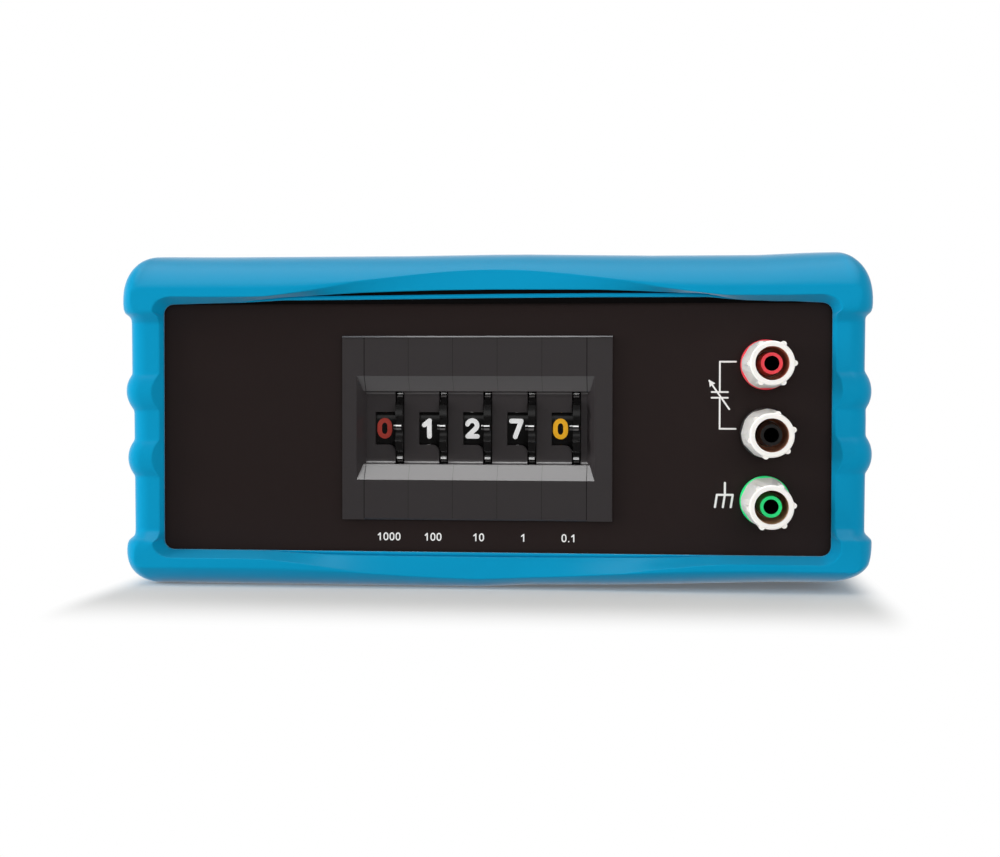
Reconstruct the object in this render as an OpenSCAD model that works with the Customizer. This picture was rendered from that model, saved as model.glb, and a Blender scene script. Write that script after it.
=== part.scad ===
// Capacitance decade box: an ABS instrument case in a rubber boot, with a bank of five
// thumbwheel switches and three safety binding posts on its front panel.
// X runs to the right and Z up. The front faces -Y. Lengths are in millimetres.
// Every module is drawn about the middle of the front panel's face and is then set on the floor.

/* [Panel] */
// Width of the case that shows no panel, at each side
rim_side = 5; // [4.5:0.1:8]
// Height of the case that shows no panel, above and below
rim_up = 6.7; // [6:0.1:9]
// Thickness of the front and rear panels
panel_t = 3; // [2:0.5:4]
// Play of a panel in its groove
panel_play = 0.2; // [0.1:0.1:0.5]

/* [Case] */
// Outside width of the case
case_w = 200; // [198:1:204]
// Outside height of the case
case_h = 84; // [82:0.5:88]
// Depth from the front panel's face to the rear panel's face
case_d = 138; // [125:1:180]
// Corner radius of the case, seen from the front
case_r = 6; // [5.8:0.2:8]
// Wall of the case shells
case_wall = 3; // [2.4:0.2:3.4]
// Rim of the shells in front of each panel
case_lip = 1.2; // [0.8:0.1:2]
// Depth of the panel groove in the wall
groove_deep = 1; // [0.6:0.1:1.4]
// Height of the tongue on the lower shell
tongue_h = 1.4; // [1:0.1:2.5]

/* [Boot] */
// Rubber beside the case, halfway up
boot_wall = 4.7; // [3.5:0.1:6]
// How much wider each side is at the top of the opening than halfway up
boot_lean = 0.25; // [0:0.05:0.5]
// How far the corner bumpers stand out at the sides
bumper_out = 1.75; // [0.5:0.05:2.3]
// Rubber above the panel opening
boot_top = 15; // [12:0.1:18]
// Rubber below the panel opening
boot_bottom = 10.3; // [9:0.1:14]
// Front face of the side columns, ahead of the panel
column_front = 3.2; // [2.6:0.1:4]
// Front face of the top and bottom bars, ahead of the panel
bar_front = 6.4; // [5:0.1:8]
// How far the bars reach past the corners of the opening on the sides
bar_end = 2.2; // [1.3:0.1:3.4]
// Height of the grip ribs
rib_h = 1.75; // [0.5:0.05:2.5]
// Width of a grip rib
rib_w = 10.4; // [7:0.1:13]
// Middle of the upper grip rib
rib_upper_z = 11; // [8:0.5:13]
// Middle of the lower grip rib
rib_lower_z = -8; // [-12:0.5:-6]
// Rise of the swoop in the top bar
wave_top = 5; // [1:0.1:6]
// Fall of the swoop in the bottom bar
wave_bottom = 2.4; // [0.5:0.1:3]
// Half length of the swoops
wave_len = 65; // [50:1:72]

/* [Thumbwheels] */
// Number of switch modules
wheels = 5; // [5:1:5]
// Width of one switch module
module_w = 12.7; // [12:0.1:13]
// Middle of the switch bank, from the middle of the panel
bank_x = -4.8; // [-20:0.1:0]
// How far the bezel laps over the panel, above and below
bezel_lap = 2.7; // [1.5:0.1:3.5]
// Width of the left end cheek
left_cheek_w = 6.3; // [5.6:0.1:8]
// Width of the right end cheek
right_cheek_w = 7.2; // [5.6:0.1:8]
// How far the bezel stands in front of the panel
bezel_out = 1.5; // [1:0.1:2.5]
// Depth of the recessed face behind the panel's face
recess_y = 3.2; // [2.6:0.1:4]
// Height of the recessed face
recess_h = 21; // [20:0.2:22]
// Height of the recess at the front of the bezel
mouth_h = 29.6; // [27:0.2:32]
// Width that the recess gains on each cheek
mouth_side = 2.2; // [1:0.1:3]
// Height of the switch bodies behind the panel
body_h = 47; // [45:0.5:48]
// Depth of the switch bodies behind the panel
body_d = 36; // [34.5:0.5:40]
// Radius of the finger wheel
wheel_r = 17; // [16.6:0.1:17.2]
// Radius of the drum that carries the figures
drum_r = 12.3; // [11.8:0.1:12.6]
// Number of positions
positions = 10; // [10:1:10]
// Depth of a finger notch
notch_deep = 1.6; // [1:0.1:2]
// Left edge of the window in a module
window_x = 2.5; // [2.2:0.1:3.2]
// Height of the window
window_h = 9.4; // [8:0.1:10]
// How far the window's middle lies below the wheel's axis
window_drop = 0.22; // [0:0.01:0.4]
// Left edge of the wheel slot in a module
slot_x = 8.3; // [8.1:0.05:8.5]
// Width of the wheel slot
slot_w = 2.6; // [2.4:0.05:2.8]
// Play at each side of a wheel in its slot
wheel_play = 0.16; // [0.1:0.02:0.3]
// Clearance beside a wheel in its slot, on the side of the figures
wheel_gap = 0.42; // [0.3:0.02:0.5]
// Radius of the wheel's pivot
pivot_r = 3; // [2.5:0.1:3.5]
// Running clearance of the wheel on its pivot
run_fit = 0.05; // [0.02:0.01:0.1]

/* [Terminals] */
// Distance of the terminals from the right edge of the opening
post_in = 18.2; // [15:0.1:24]
// Middle of the row of terminals
post_z = -1; // [-2:0.1:2]
// Spacing of the terminals
post_pitch = 19.05; // [18.5:0.05:20]
// Front of the terminal knobs, ahead of the panel
post_len = 26; // [22:0.5:28]
// Radius of a knob at its base
knob_r = 6.8; // [6.6:0.1:7]
// Radius of a knob at its front
knob_front_r = 5.8; // [5.6:0.05:6]
// Radius of the coloured base
base_r = 7; // [6.8:0.1:8.2]
// Thickness of the coloured base
base_t = 2; // [1.5:0.1:3]
// Radius of the recess round the socket
shroud_r = 4.5; // [4.3:0.05:4.8]
// Radius of the coloured sleeve
sleeve_r = 3.2; // [3.1:0.05:3.3]
// Radius of the test socket
socket_r = 2; // [2:0.05:2.1]
// Depth of the test socket
socket_d = 15; // [12:0.5:16]
// How far the sleeve stays behind the knob's front
sleeve_back = 2.4; // [0.8:0.1:3]
// Radius of the stud's thread
thread_r = 3.5; // [3.5:0.05:3.6]
// Travel of a knob
post_travel = 4; // [3:0.5:5]

/* [Inside] */
// Height of the shield tray's base above the case floor
tray_lift = 3; // [2:0.5:6]
// Sheet thickness of the shield tray
tray_t = 1; // [0.8:0.1:1.5]
// Height of the board over the tray
board_lift = 6; // [5:0.5:10]
// Thickness of the circuit boards
board_t = 1.6; // [1.2:0.2:2.4]
// Gap between the capacitor board and each side of the case
board_side = 28; // [24:0.5:30]
// Room between the capacitor board and the rear panel's face
board_back = 8; // [7:0.5:12]
// Front edge of the capacitor board
board_y = 58; // [56:1:60]

/* [Hidden] */
$fn = 48;
cavity_r = case_r - 0.5;

// Front view of the parts of the boot
view_w = case_w - 2 * rim_side;
view_h = case_h - 2 * rim_up;
case_hw = case_w / 2;
case_hh = case_h / 2;
waist = case_hw + boot_wall;
half_w = view_w / 2;
half_h = view_h / 2;
top_z = half_h + boot_top;
low_z = -half_h - boot_bottom;
edge_w = waist + bumper_out;
bar_edge = half_h - bar_end;
panel_z = -low_z;
rear_y = case_d + bar_front;
panel_y = -(rear_y - post_len) / 2;
panel_w = case_w - 2 * (case_wall - groove_deep) - 2 * panel_play;
panel_h = case_h - 2 * (case_wall - groove_deep) - 2 * panel_play;
floor_z = -case_hh + case_wall;

// Bank of switches
bank_left = bank_x - wheels * module_w / 2;
bank_right = bank_x + wheels * module_w / 2;
bezel_h = body_h + 2 * bezel_lap;
wheel_y = recess_y + sqrt(wheel_r * wheel_r - recess_h * recess_h / 4);
rim_x = slot_x + wheel_gap;
rim_w = slot_w - wheel_gap - wheel_play;
drum_x = 1.7;
wall_x = 1;
tie_r = 1.25;
tie_hole = 1.4;
tie_wall = 3.3;
tie_z = body_h / 2 - tie_wall;
tie_back = body_d - 4;
tie_places = [[6.2, tie_z], [6.2, -tie_z], [tie_back, tie_z], [tie_back, -tie_z]];
flange = 1.4;
cut_play = 0.2;
cut_left = bank_left - left_cheek_w + flange - cut_play;
cut_right = bank_right + right_cheek_w - flange + cut_play;
cut_h = body_h + 2 * cut_play;
board_x = 11.7;
contact_t = 0.8;
pocket_h = body_h - 10.4;
contact_back = body_d + 12;

tie_head = 1.6;
tie_head_r = 2.3;
tie_nut_t = 2;
tie_nut_r = 2.8;
tie_seat = bank_left - left_cheek_w + flange + tie_head + 0.2;
tie_nut_seat = bank_right + right_cheek_w - flange - tie_nut_t - 0.2;

// Posts
post_x = half_w - post_in;
post_zs = [post_z + post_pitch, post_z, post_z - post_pitch];
post_colours = ["firebrick", "black", "seagreen"];
stud_back = 15;
washer_t = 1;
washer_r = 5.5;
thread_end = base_t + washer_t + 6.5;
insulator_t = 2;
nut_y = panel_t + insulator_t;
nut_t = 3;
nut_r = 4.6;
tag_t = 0.8;
tag_y = nut_y + nut_t;
stud_r = 2.5;

// Inside
boss_r = 4;
boss_x = case_hw - 8.5;
board_w = case_w - 2 * board_side;
boss_back = case_d - 20;
boss_places = [[boss_x, 20], [-boss_x, 20], [boss_x, boss_back], [-boss_x, boss_back]];
board_d = case_d - board_y - board_back;
tray_z = floor_z + tray_lift;
board_z = tray_z + tray_t + board_lift;
board_top = board_z + board_t;
pillar_x = board_w / 2 - 5;
pillar_ys = [board_y + 5, board_y + board_d - 5];
stake_x = board_w / 2 + 6;
stake_ys = [board_y + 6, board_y + board_d - 10];
wire_r = 0.9;
wire_sides = 8;

// The three wires behind the terminals start on the tags and land on the capacitor board.
wire_start_x = post_x - 9.5;
wire_gap = 0.12;
wire_lead = 4;
wire_start_y = tag_y + tag_t + wire_gap;
land_x = board_w / 2 - 12;
land_step = board_d / 9;
wire_lands = [for (k = [0 : 2]) [land_x + 2 * k, board_y + (k + 0.5) * land_step]];

// Length, thickness and height of the film capacitors of each decade, largest decade first
film_sizes = [for (f = [[13, 11, 20], [9, 8.5, 15], [6.5, 6.5, 12], [5, 5, 10]])
    [f[0] * board_w / 72, f[1], f[2]]];
code_values = [1, 2, 2, 4];
decade_xs = [for (share = [-26, -10.5, 3, 15, 26]) share * board_w / 72];
row_ys = [for (share = [5, 12, 20, 29]) board_y + board_d * share / 36];
mica_r = 4.6;
mica_t = 3.6;
mica_z = board_top + 6;
lead_r = 0.4;
lead_hole = 0.5;

// Shared helpers

// Stands the object on the floor, with its box centred on the origin.
module place() {
    translate([0, panel_y, panel_z]) children();
}

// Rectangle with round corners, from straight edges and true arcs.
module round_rect(w, h, r) {
    square([w - 2 * r, h], center = true);
    square([w, h - 2 * r], center = true);
    for (x = [-1, 1], y = [-1, 1]) translate([x * (w / 2 - r), y * (h / 2 - r)]) circle(r);
}

// A front view outline carried back along Y.
module along_y(y, len) {
    translate([0, y + len, 0]) rotate([90, 0, 0]) linear_extrude(len) children();
}

// A side view outline, drawn as [y, z], carried along X.
module along_x(x, len) {
    translate([x, 0, 0]) rotate([90, 0, 90]) linear_extrude(len) children();
}

// A round bar along Y.
module bar_y(r, x, y, z, len) {
    translate([x, y, z]) rotate([-90, 0, 0]) cylinder(r = r, h = len);
}

// A round bar along X.
module bar_x(r, x, y, z, len) {
    translate([x, y, z]) rotate([0, 90, 0]) cylinder(r = r, h = len);
}

// A round bar along Z.
module bar_z(r, x, y, z, len) {
    translate([x, y, z]) cylinder(r = r, h = len);
}

// Rubber boot
// Its surface is a grid: stations go once round the front view, and rings go over the front
// face, back along the outside, over the rear face and forward again through the cavity.

function clamp01(v) = max(0, min(1, v));
function mix(a, b, t) = a + (b - a) * t;

// Height of a grip rib at height z, as the top of a circle of the rib's own radius.
rib_round = (rib_w * rib_w / 4 + rib_h * rib_h) / (2 * rib_h);
function rib_at(z, mid) = abs(z - mid) >= rib_w / 2 ? 0
    : sqrt(rib_round * rib_round - (z - mid) * (z - mid)) - rib_round + rib_h;
function rib(z) = rib_at(z, rib_upper_z) + rib_at(z, rib_lower_z);

// Swoop of the crest line, 1 at the middle and 0 past its half length.
function swoop(x) = abs(x) >= wave_len ? 0 : pow(cos(90 * x / wave_len), 2);
// Lift of the lower edge of the swoop, which rises earlier and stays flat longer.
function swoop_edge(x) = abs(x) >= wave_len ? 0 : 1 - pow(abs(x) / wave_len, 4);
// Share of each sign of the front view that the top swoop's full form has at the bottom.
low_share = 0.15;
// Width of the flat front band, which thins out where the swoop takes over.
band_full = 2.8;
band_thin = 0.25;
band_x = 38;
function band(x) = mix(band_thin, band_full, clamp01((abs(x) - band_x) / (wave_len - band_x)));

// A bar's front is proud of the columns, and ends in a 45 degree chamfer at each side.
function bar_rise(z, full) = min(full, max(0, full - (bar_edge - abs(z))));

corner_steps = 6;
run_end = half_w - 11;
run_half = run_end - 12;
run_step = run_half / 12;
run_xs = concat([run_end], [for (x = [run_half : -run_step : -run_half]) x], [-run_end]);
rib_part = rib_w / 8;
side_end = bar_edge - 3.3;
side_mid = bar_edge - bumper_out;
side_zs = concat([bar_edge, side_mid, side_end],
    [for (k = [4 : -1 : -4]) rib_upper_z + k * rib_part],
    [(rib_upper_z + rib_lower_z) / 2],
    [for (k = [4 : -1 : -4]) rib_lower_z + k * rib_part],
    [-side_end, -side_mid, -bar_edge]);

// One station: its kind (0 side, 1 corner, 2 run), its side sign, its top sign and its value.
// The order is: top run from right to left, top left corner, left side downwards,
// bottom left corner, bottom run from left to right, bottom right corner, right side upwards.
stations = concat(
    [for (x = run_xs) [2, 0, 1, x]],
    [for (k = [0 : corner_steps]) [1, -1, 1, 90 - 90 * k / corner_steps]],
    [for (z = side_zs) [0, -1, 0, z]],
    [for (k = [0 : corner_steps]) [1, -1, -1, 90 * k / corner_steps]],
    [for (k = [len(run_xs) - 1 : -1 : 0]) [2, 0, -1, run_xs[k]]],
    [for (k = [0 : corner_steps]) [1, 1, -1, 90 - 90 * k / corner_steps]],
    [for (k = [len(side_zs) - 1 : -1 : 0]) [0, 1, 0, side_zs[k]]],
    [for (k = [0 : corner_steps]) [1, 1, 1, 90 * k / corner_steps]]);

// A point of a rectangle with elliptical corners, for a corner station.
function corner_point(sx, sz, a, hw, hh, rx, rz) =
    [sx * (hw - rx + rx * cos(a)), sz * (hh - rz + rz * sin(a))];
// Heights near a bar's end are squeezed, so that inner outlines reach their own corners.
function squeeze(z, lim) = abs(z) <= side_end ? z
    : sign(z) * (side_end + (abs(z) - side_end) * (lim - side_end) / (bar_edge - side_end));

opening_r = 3;
edge_gap = 0.3;
lip_rise = 1.75;
ledge_w = 1.2;
face_in = 2.1;
crest_in = 3.6;
crest_up = 4.7;
crest_down = 4.9;
crest_r = 2.5;
crest_flat = 5.1;
top_rx = 11;
top_rz = 15;
low_rx = 9.5;
low_rz = 10.5;
// The sides lean out a little towards the top.
function lean(z) = boot_lean * z / half_h;

function pick(s, up, down) = s[2] > 0 ? up : down;
// Outline of the panel opening, grown by g. Its top edge rises a little under the swoop.
function opening_pt(s, g) =
    s[0] == 2 ? [s[3], s[2] * (half_h + g + lip_rise * swoop_edge(s[3]) * pick(s, 1, 0))]
    : s[0] == 1 ? corner_point(s[1], s[2], s[3], half_w + g, half_h + g, opening_r + g, opening_r + g)
    : [s[1] * (half_w + g), squeeze(s[3], half_h - opening_r - 0.1)];
// Cavity that the case fills.
function cavity_pt(s) =
    s[0] == 2 ? [s[3], s[2] * case_hh]
    : s[0] == 1 ? corner_point(s[1], s[2], s[3], case_hw, case_hh, cavity_r, cavity_r)
    : [s[1] * case_hw, squeeze(s[3], case_hh - cavity_r - 0.1)];
// Outside of the boot.
function outer_pt(s) =
    s[0] == 2 ? [s[3], pick(s, top_z, low_z)]
    : s[0] == 1 ? corner_point(s[1], s[2], s[3], edge_w + lean(s[2] * bar_edge),
        pick(s, top_z, -low_z), pick(s, top_rx, low_rx), pick(s, top_rz, low_rz))
    : [s[1] * (waist + lean(s[3]) + bar_rise(s[3], bumper_out) + rib(s[3])), s[3]];
// Start of the roll-off: the crest of a bar, or the edge of a column's flat front.
function crest_z(s) = pick(s, half_h + crest_up + wave_top * swoop(s[3]),
    -half_h - crest_down - wave_bottom * swoop(s[3]));
function crest_pt(s) =
    s[0] == 2 ? [s[3], crest_z(s)]
    : s[0] == 1 ? corner_point(s[1], s[2], s[3], edge_w + lean(s[2] * bar_edge) - crest_in,
        half_h + pick(s, crest_up, crest_down), crest_r, crest_r)
    : [s[1] * mix(waist - crest_flat, edge_w - crest_in, bar_rise(s[3], 1)), s[3]]
        + [s[1] * (lean(s[3]) + rib(s[3])), 0];
// Inner edge of the front face.
function face_pt(s) =
    s[0] == 2 ? [s[3], crest_z(s) - s[2] * band(s[3])]
    : s[0] == 1 ? corner_point(s[1], s[2], s[3], half_w + face_in, half_h + face_in, 6, 4.5)
    : [s[1] * (half_w + mix(0.9 + rib(s[3]), face_in, bar_rise(s[3], 1))), squeeze(s[3], bar_edge)];
// Outer edge of the narrow ledge round the opening.
function ledge_pt(s) =
    s[0] == 2 ? opening_pt(s, edge_gap / 2) + [0, s[2] * ledge_w * swoop_edge(s[3]) * pick(s, 1, low_share)]
    : opening_pt(s, edge_gap / 2);
// Lower edge of the slope between the front face and the ledge.
function slope_pt(s) =
    s[0] == 2 ? [s[3], s[2] * (half_h + edge_gap + (wave_top - 1.2) * swoop_edge(s[3]) * pick(s, 1, low_share))]
    : opening_pt(s, edge_gap);

// How far forward the front face stands, and the shape of the roll-off behind it.
function front_at(s) = s[0] == 0
    ? column_front + bar_rise(s[3], bar_front - column_front) + rib(s[3]) : bar_front;
function roll_side(s) = bar_rise(s[3], 1);
function roll_angle(s) = s[0] == 2 ? pick(s, 65, 50)
    : s[0] == 1 ? mix(60, pick(s, 65, 50), s[3] / 90) : mix(88, 60, roll_side(s));
function roll_back(s) = s[0] == 2 ? pick(s, 9.6, 4.8)
    : s[0] == 1 ? mix(-0.2, pick(s, 9.6, 4.8), pow(s[3] / 90, 2)) : mix(1.9, -0.2, roll_side(s));
// Angle on the roll-off at which a swoop's crest lies.
function crest_angle(s) = s[0] != 2 ? roll_angle(s)
    : let (full = pick(s, top_z - half_h - crest_up, -low_z - half_h - crest_down),
           left = pick(s, top_z - crest_z(s), crest_z(s) - low_z))
      acos(1 - left / full * (1 - cos(roll_angle(s))));
function crest_y(s) = roll_back(s) - (roll_back(s) + front_at(s)) * sin(crest_angle(s)) / sin(roll_angle(s));

roll_steps = 5;
function at_y(p, y) = [p[0], y, p[1]];
function roll_pt(s, k) =
    let (a = crest_angle(s) * (1 - k / roll_steps),
         t = (1 - cos(a)) / (1 - cos(crest_angle(s))),
         y = roll_back(s) - (roll_back(s) + front_at(s)) * sin(a) / sin(roll_angle(s)))
    at_y(mix(outer_pt(s), crest_pt(s), t), y);

lip_y = -case_lip;
ledge_y = lip_y - 0.4;
groove_y = lip_y - 0.15;
slope_y = lip_y - 0.9;
// The rear repeats the bars and columns without the swoop.
rear_round = 7;
function rear_crest(s) = s[0] == 2 ? [s[3], pick(s, half_h + crest_up, -half_h - crest_down)] : crest_pt(s);
function rear_face(s) = s[0] == 2 ? [s[3], s[2] * (half_h + face_in)] : face_pt(s);
rear_steps = 3;
function rear_pt(s, k) =
    let (a = 90 * k / rear_steps)
    at_y(mix(rear_crest(s), outer_pt(s), cos(a)),
        case_d + front_at(s) - rear_round + rear_round * sin(a));

rings = concat(
    [[for (s = stations) at_y(opening_pt(s, 0), lip_y)]],
    [[for (s = stations) at_y(opening_pt(s, 0), ledge_y)]],
    [[for (s = stations) at_y(ledge_pt(s), ledge_y)]],
    [[for (s = stations) at_y(ledge_pt(s), groove_y)]],
    [[for (s = stations) at_y(slope_pt(s), groove_y - 0.05)]],
    [[for (s = stations) at_y(slope_pt(s), slope_y)]],
    [[for (s = stations) at_y(face_pt(s), crest_y(s))]],
    [for (k = [0 : roll_steps]) [for (s = stations) roll_pt(s, k)]],
    [for (k = [0 : rear_steps]) [for (s = stations) rear_pt(s, k)]],
    [[for (s = stations) at_y(rear_face(s), case_d + front_at(s))]],
    [[for (s = stations) at_y(opening_pt(s, 0), case_d - slope_y)]],
    [[for (s = stations) at_y(opening_pt(s, 0), case_d + case_lip)]],
    [[for (s = stations) at_y(cavity_pt(s), case_d + case_lip)]],
    [[for (s = stations) at_y(cavity_pt(s), lip_y)]]);

module rubber_boot() {
    n = len(stations);
    m = len(rings);
    points = [for (r = rings) each r];
    faces = [for (j = [0 : m - 1], i = [0 : n - 1])
        let (a = j * n + i, b = j * n + (i + 1) % n, c = ((j + 1) % m) * n + (i + 1) % n,
             d = ((j + 1) % m) * n + i)
        each [[a, b, c], [a, c, d]]];
    color("deepskyblue") place() polyhedron(points, faces, convexity = 8);
}

// Case

module shell_body() {
    difference() {
        along_y(-case_lip, case_d + 2 * case_lip) round_rect(case_w, case_h, case_r);
        along_y(-case_lip - 1, case_d + 2 * case_lip + 2)
            round_rect(view_w + 0.6, view_h + 0.6, opening_r + 0.3);
        for (y = [0, case_d - panel_t - panel_play])
            along_y(y, panel_t + panel_play)
                round_rect(panel_w + 2 * panel_play, panel_h + 2 * panel_play, case_r - 2);
        along_y(panel_t + 2, case_d - 2 * panel_t - 4)
            round_rect(case_w - 2 * case_wall, case_h - 2 * case_wall, case_r - case_wall);
        along_y(panel_t, case_d - 2 * panel_t) round_rect(case_w - 14, case_h - 12, 2);
    }
}

tongue_in = 1.1;
module tongue(extra) {
    w = case_w - 2 * (case_wall - tongue_in) + 2 * extra;
    for (s = [-1, 1])
        translate([s * (case_hw - case_wall + tongue_in / 2), case_d / 2, tongue_h / 2])
            cube([tongue_in + 2 * extra, case_d - 30 + 2 * extra, tongue_h + 2 * extra], center = true);
}

module boss(x, y, z, len) {
    bar_z(boss_r, x, y, z, len);
    translate([sign(x) * (case_hw - case_wall + 0.5) / 2 + x / 2, y, z + len / 2])
        cube([case_hw - case_wall + 0.5 - abs(x), 2, len], center = true);
}

screw_r = 1.5;
head_r = 2.8;
head_t = 2.2;
screw_end = 14;
screw_seat = -case_hh + 3;

module case_bottom() {
    color("dimgray") place() difference() {
        union() {
            intersection() {
                shell_body();
                translate([-case_w, -10, -case_h]) cube([2 * case_w, case_d + 20, case_h]);
            }
            tongue(0);
            for (p = boss_places) boss(p[0], p[1], floor_z - 0.5, -floor_z + 0.5);
            for (x = [-stake_x, stake_x], y = stake_ys) {
                bar_z(3.5, x, y, floor_z - 0.5, tray_lift + 0.5);
                bar_z(1.5, x, y, floor_z, tray_lift + tray_t + 0.3);
                bar_z(2.4, x, y, tray_z + tray_t, 0.9);
            }
        }
        for (p = boss_places) {
            bar_z(screw_r + 0.15, p[0], p[1], -case_hh - 1, case_h);
            bar_z(head_r + 0.2, p[0], p[1], -case_hh - 1, screw_seat + case_hh + 1);
        }
    }
}

module case_top() {
    color("dimgray") place() difference() {
        union() {
            intersection() {
                shell_body();
                translate([-case_w, -10, 0]) cube([2 * case_w, case_d + 20, case_h]);
            }
            for (p = boss_places) boss(p[0], p[1], 0, -floor_z + 0.5);
        }
        tongue(0.1);
        for (p = boss_places) bar_z(screw_r, p[0], p[1], -1, screw_end + 2);
    }
}

module case_screws() {
    color("silver") place() for (p = boss_places) difference() {
        union() {
            bar_z(head_r, p[0], p[1], screw_seat - head_t, head_t);
            bar_z(screw_r - 0.02, p[0], p[1], screw_seat, screw_end - screw_seat);
        }
        for (a = [0, 90]) translate([p[0], p[1], screw_seat - head_t]) rotate([0, 0, a])
            cube([3, 0.7, 2.4], center = true);
    }
}

module panel_blank() {
    round_rect(panel_w, panel_h, case_r - 2 - panel_play);
}

module front_panel() {
    color([0.16, 0.15, 0.14]) place() difference() {
        along_y(0, panel_t) panel_blank();
        translate([cut_left, -1, -cut_h / 2]) cube([cut_right - cut_left, panel_t + 2, cut_h]);
        for (z = post_zs) bar_y(5.1, post_x, -1, z, panel_t + 2);
    }
}

module rear_panel() {
    color([0.16, 0.15, 0.14]) place() along_y(case_d - panel_t, panel_t) panel_blank();
}

// Thumbwheel switches

cove_r = 1.6;
cove_steps = 6;
// Side outline of a switch body, with the sloped mouth and the coved recess.
function cove(s) = [for (k = [0 : cove_steps]) let (a = 90 * k / cove_steps)
    [recess_y - cove_r * (1 - sin(a)), s * (recess_h / 2 - cove_r * (1 - cos(a)))]];
mouth_z = mouth_h / 2;
edge_cut = 0.4;
function face_outline() = concat(
    [[0, body_h / 2], [0, bezel_h / 2], [-bezel_out + edge_cut, bezel_h / 2],
     [-bezel_out, bezel_h / 2 - edge_cut], [-bezel_out, mouth_z]],
    cove(1), [for (k = [cove_steps : -1 : 0]) cove(-1)[k]],
    [[-bezel_out, -mouth_z], [-bezel_out, edge_cut - bezel_h / 2],
     [-bezel_out + edge_cut, -bezel_h / 2], [0, -bezel_h / 2], [0, -body_h / 2],
     [body_d, -body_h / 2], [body_d, body_h / 2]]);

// Window and wheel slot, drawn as [x, z]. The corner under the window is rounded to the slot.
corner_r = 2;
slot_h = recess_h - 0.3;
module window_outline() {
    top = window_h / 2 - window_drop;
    low = -window_h / 2 - window_drop;
    polygon(concat([[window_x, top], [window_x, low]],
        [for (a = [90 : -15 : 0])
            [slot_x - corner_r + corner_r * cos(a), low - corner_r + corner_r * sin(a)]],
        [[slot_x, -slot_h / 2], [slot_x + slot_w, -slot_h / 2], [slot_x + slot_w, slot_h / 2],
         [slot_x, slot_h / 2], [slot_x, top]]));
}

module switch_housing(i) {
    color([0.22, 0.21, 0.21]) place() translate([bank_left + i * module_w, 0, 0]) difference() {
        along_x(0, module_w) polygon(face_outline());
        // room for the drum, for the rim and for the contact board
        bar_x(drum_r + 0.35, wall_x, wheel_y, 0, module_w);
        bar_x(wheel_r + 0.35, slot_x, wheel_y, 0, slot_w);
        translate([board_x - 0.9, 12, -pocket_h / 2]) cube([module_w, body_d, pocket_h]);
        along_y(-bezel_out - 1, 10) window_outline();
        // pocket for the detent spring behind the wheel
        translate([slot_x, wheel_y + 8, -pocket_h / 2]) cube([slot_w, body_d, pocket_h]);
        for (p = tie_places) bar_x(tie_hole, -1, p[0], p[1], module_w + 2);
    }
    color([0.22, 0.21, 0.21]) place() translate([bank_left + i * module_w, 0, 0])
        bar_x(pivot_r, 0.5, wheel_y, 0, board_x + contact_t - 0.5);
}

notch_half = wheel_r * sin(13.2);
notch_mid = wheel_r * cos(13.2);
notch_round = (notch_half * notch_half + pow(notch_mid - wheel_r + notch_deep, 2))
    / (2 * (notch_mid - wheel_r + notch_deep));
// An index bar stands in each notch, on the side of the figures.
mark_up = 0.88;
mark_down = 0.7;
mark_w = 1.65;
mark_h = 0.45;

module rim_outline() {
    difference() {
        circle(wheel_r);
        for (k = [0 : positions - 1]) rotate(180 + 360 * k / positions)
            translate([wheel_r - notch_deep + notch_round, 0]) circle(notch_round);
        circle(drum_r - 2);
    }
}

module thumbwheel(i) {
    color([0.13, 0.12, 0.12]) place() translate([bank_left + i * module_w, wheel_y, 0]) difference() {
        union() {
            along_x(rim_x, rim_w) rim_outline();
            for (k = [0 : positions - 1]) rotate([-360 * k / positions, 0, 0])
                translate([rim_x, -wheel_r + notch_deep - mark_h, -mark_down])
                    cube([mark_w, mark_h + 1, mark_up + mark_down]);
            difference() {
                bar_x(drum_r, drum_x, 0, 0, rim_x - drum_x + 0.4);
                bar_x(drum_r - 1.4, drum_x - 1, 0, 0, rim_x - drum_x - 0.4);
            }
            bar_x(drum_r - 1, rim_x - 1.4, 0, 0, 1.8);
            bar_x(pivot_r + 2, drum_x, 0, 0, rim_x + 1 - drum_x);
        }
        bar_x(pivot_r + run_fit, -1, 0, 0, module_w + 2);
    }
}

module contact_brush(i) {
    color("goldenrod") place() translate([bank_left + i * module_w, wheel_y, 0]) {
        difference() {
            bar_x(8, rim_x + 0.4, 0, 0, 0.4);
            bar_x(pivot_r + 2.1, rim_x, 0, 0, 2);
        }
        for (a = [60, 180, 300]) rotate([a, 0, 0])
            translate([rim_x + 0.8, 6, -0.6]) cube([board_x - rim_x - 0.9, 1.2, 1.2]);
    }
}

// A leaf spring, held in the roof of its pocket, with a nub that rests in the rear notch.
spring_t = 0.4;
module detent_spring(i) {
    tip = wheel_y + wheel_r - notch_deep + mark_h + 0.12;
    clear = wheel_y + wheel_r + 0.35;
    leaf = body_d - 0.8;
    front = [[leaf, pocket_h / 2], [leaf, 10], [clear, 3.6], [tip, 0.7], [tip, -0.7], [clear, -3.6],
        [clear + 0.6, -6]];
    color("lightsteelblue") place() translate([bank_left + i * module_w, 0, 0])
        along_x(rim_x + 0.2, rim_w - 0.4)
            polygon(concat(front, [for (k = [len(front) - 1 : -1 : 0]) front[k] + [spring_t, 0]]));
}

module contact_board(i) {
    color("seagreen") place() translate([bank_left + i * module_w, 0, 0]) difference() {
        translate([board_x, 12.2, -pocket_h / 2 + 0.2])
            cube([contact_t, contact_back - 12.2, pocket_h - 0.4]);
        bar_x(pivot_r + 0.05, board_x - 1, wheel_y, 0, 3);
    }
}

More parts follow.
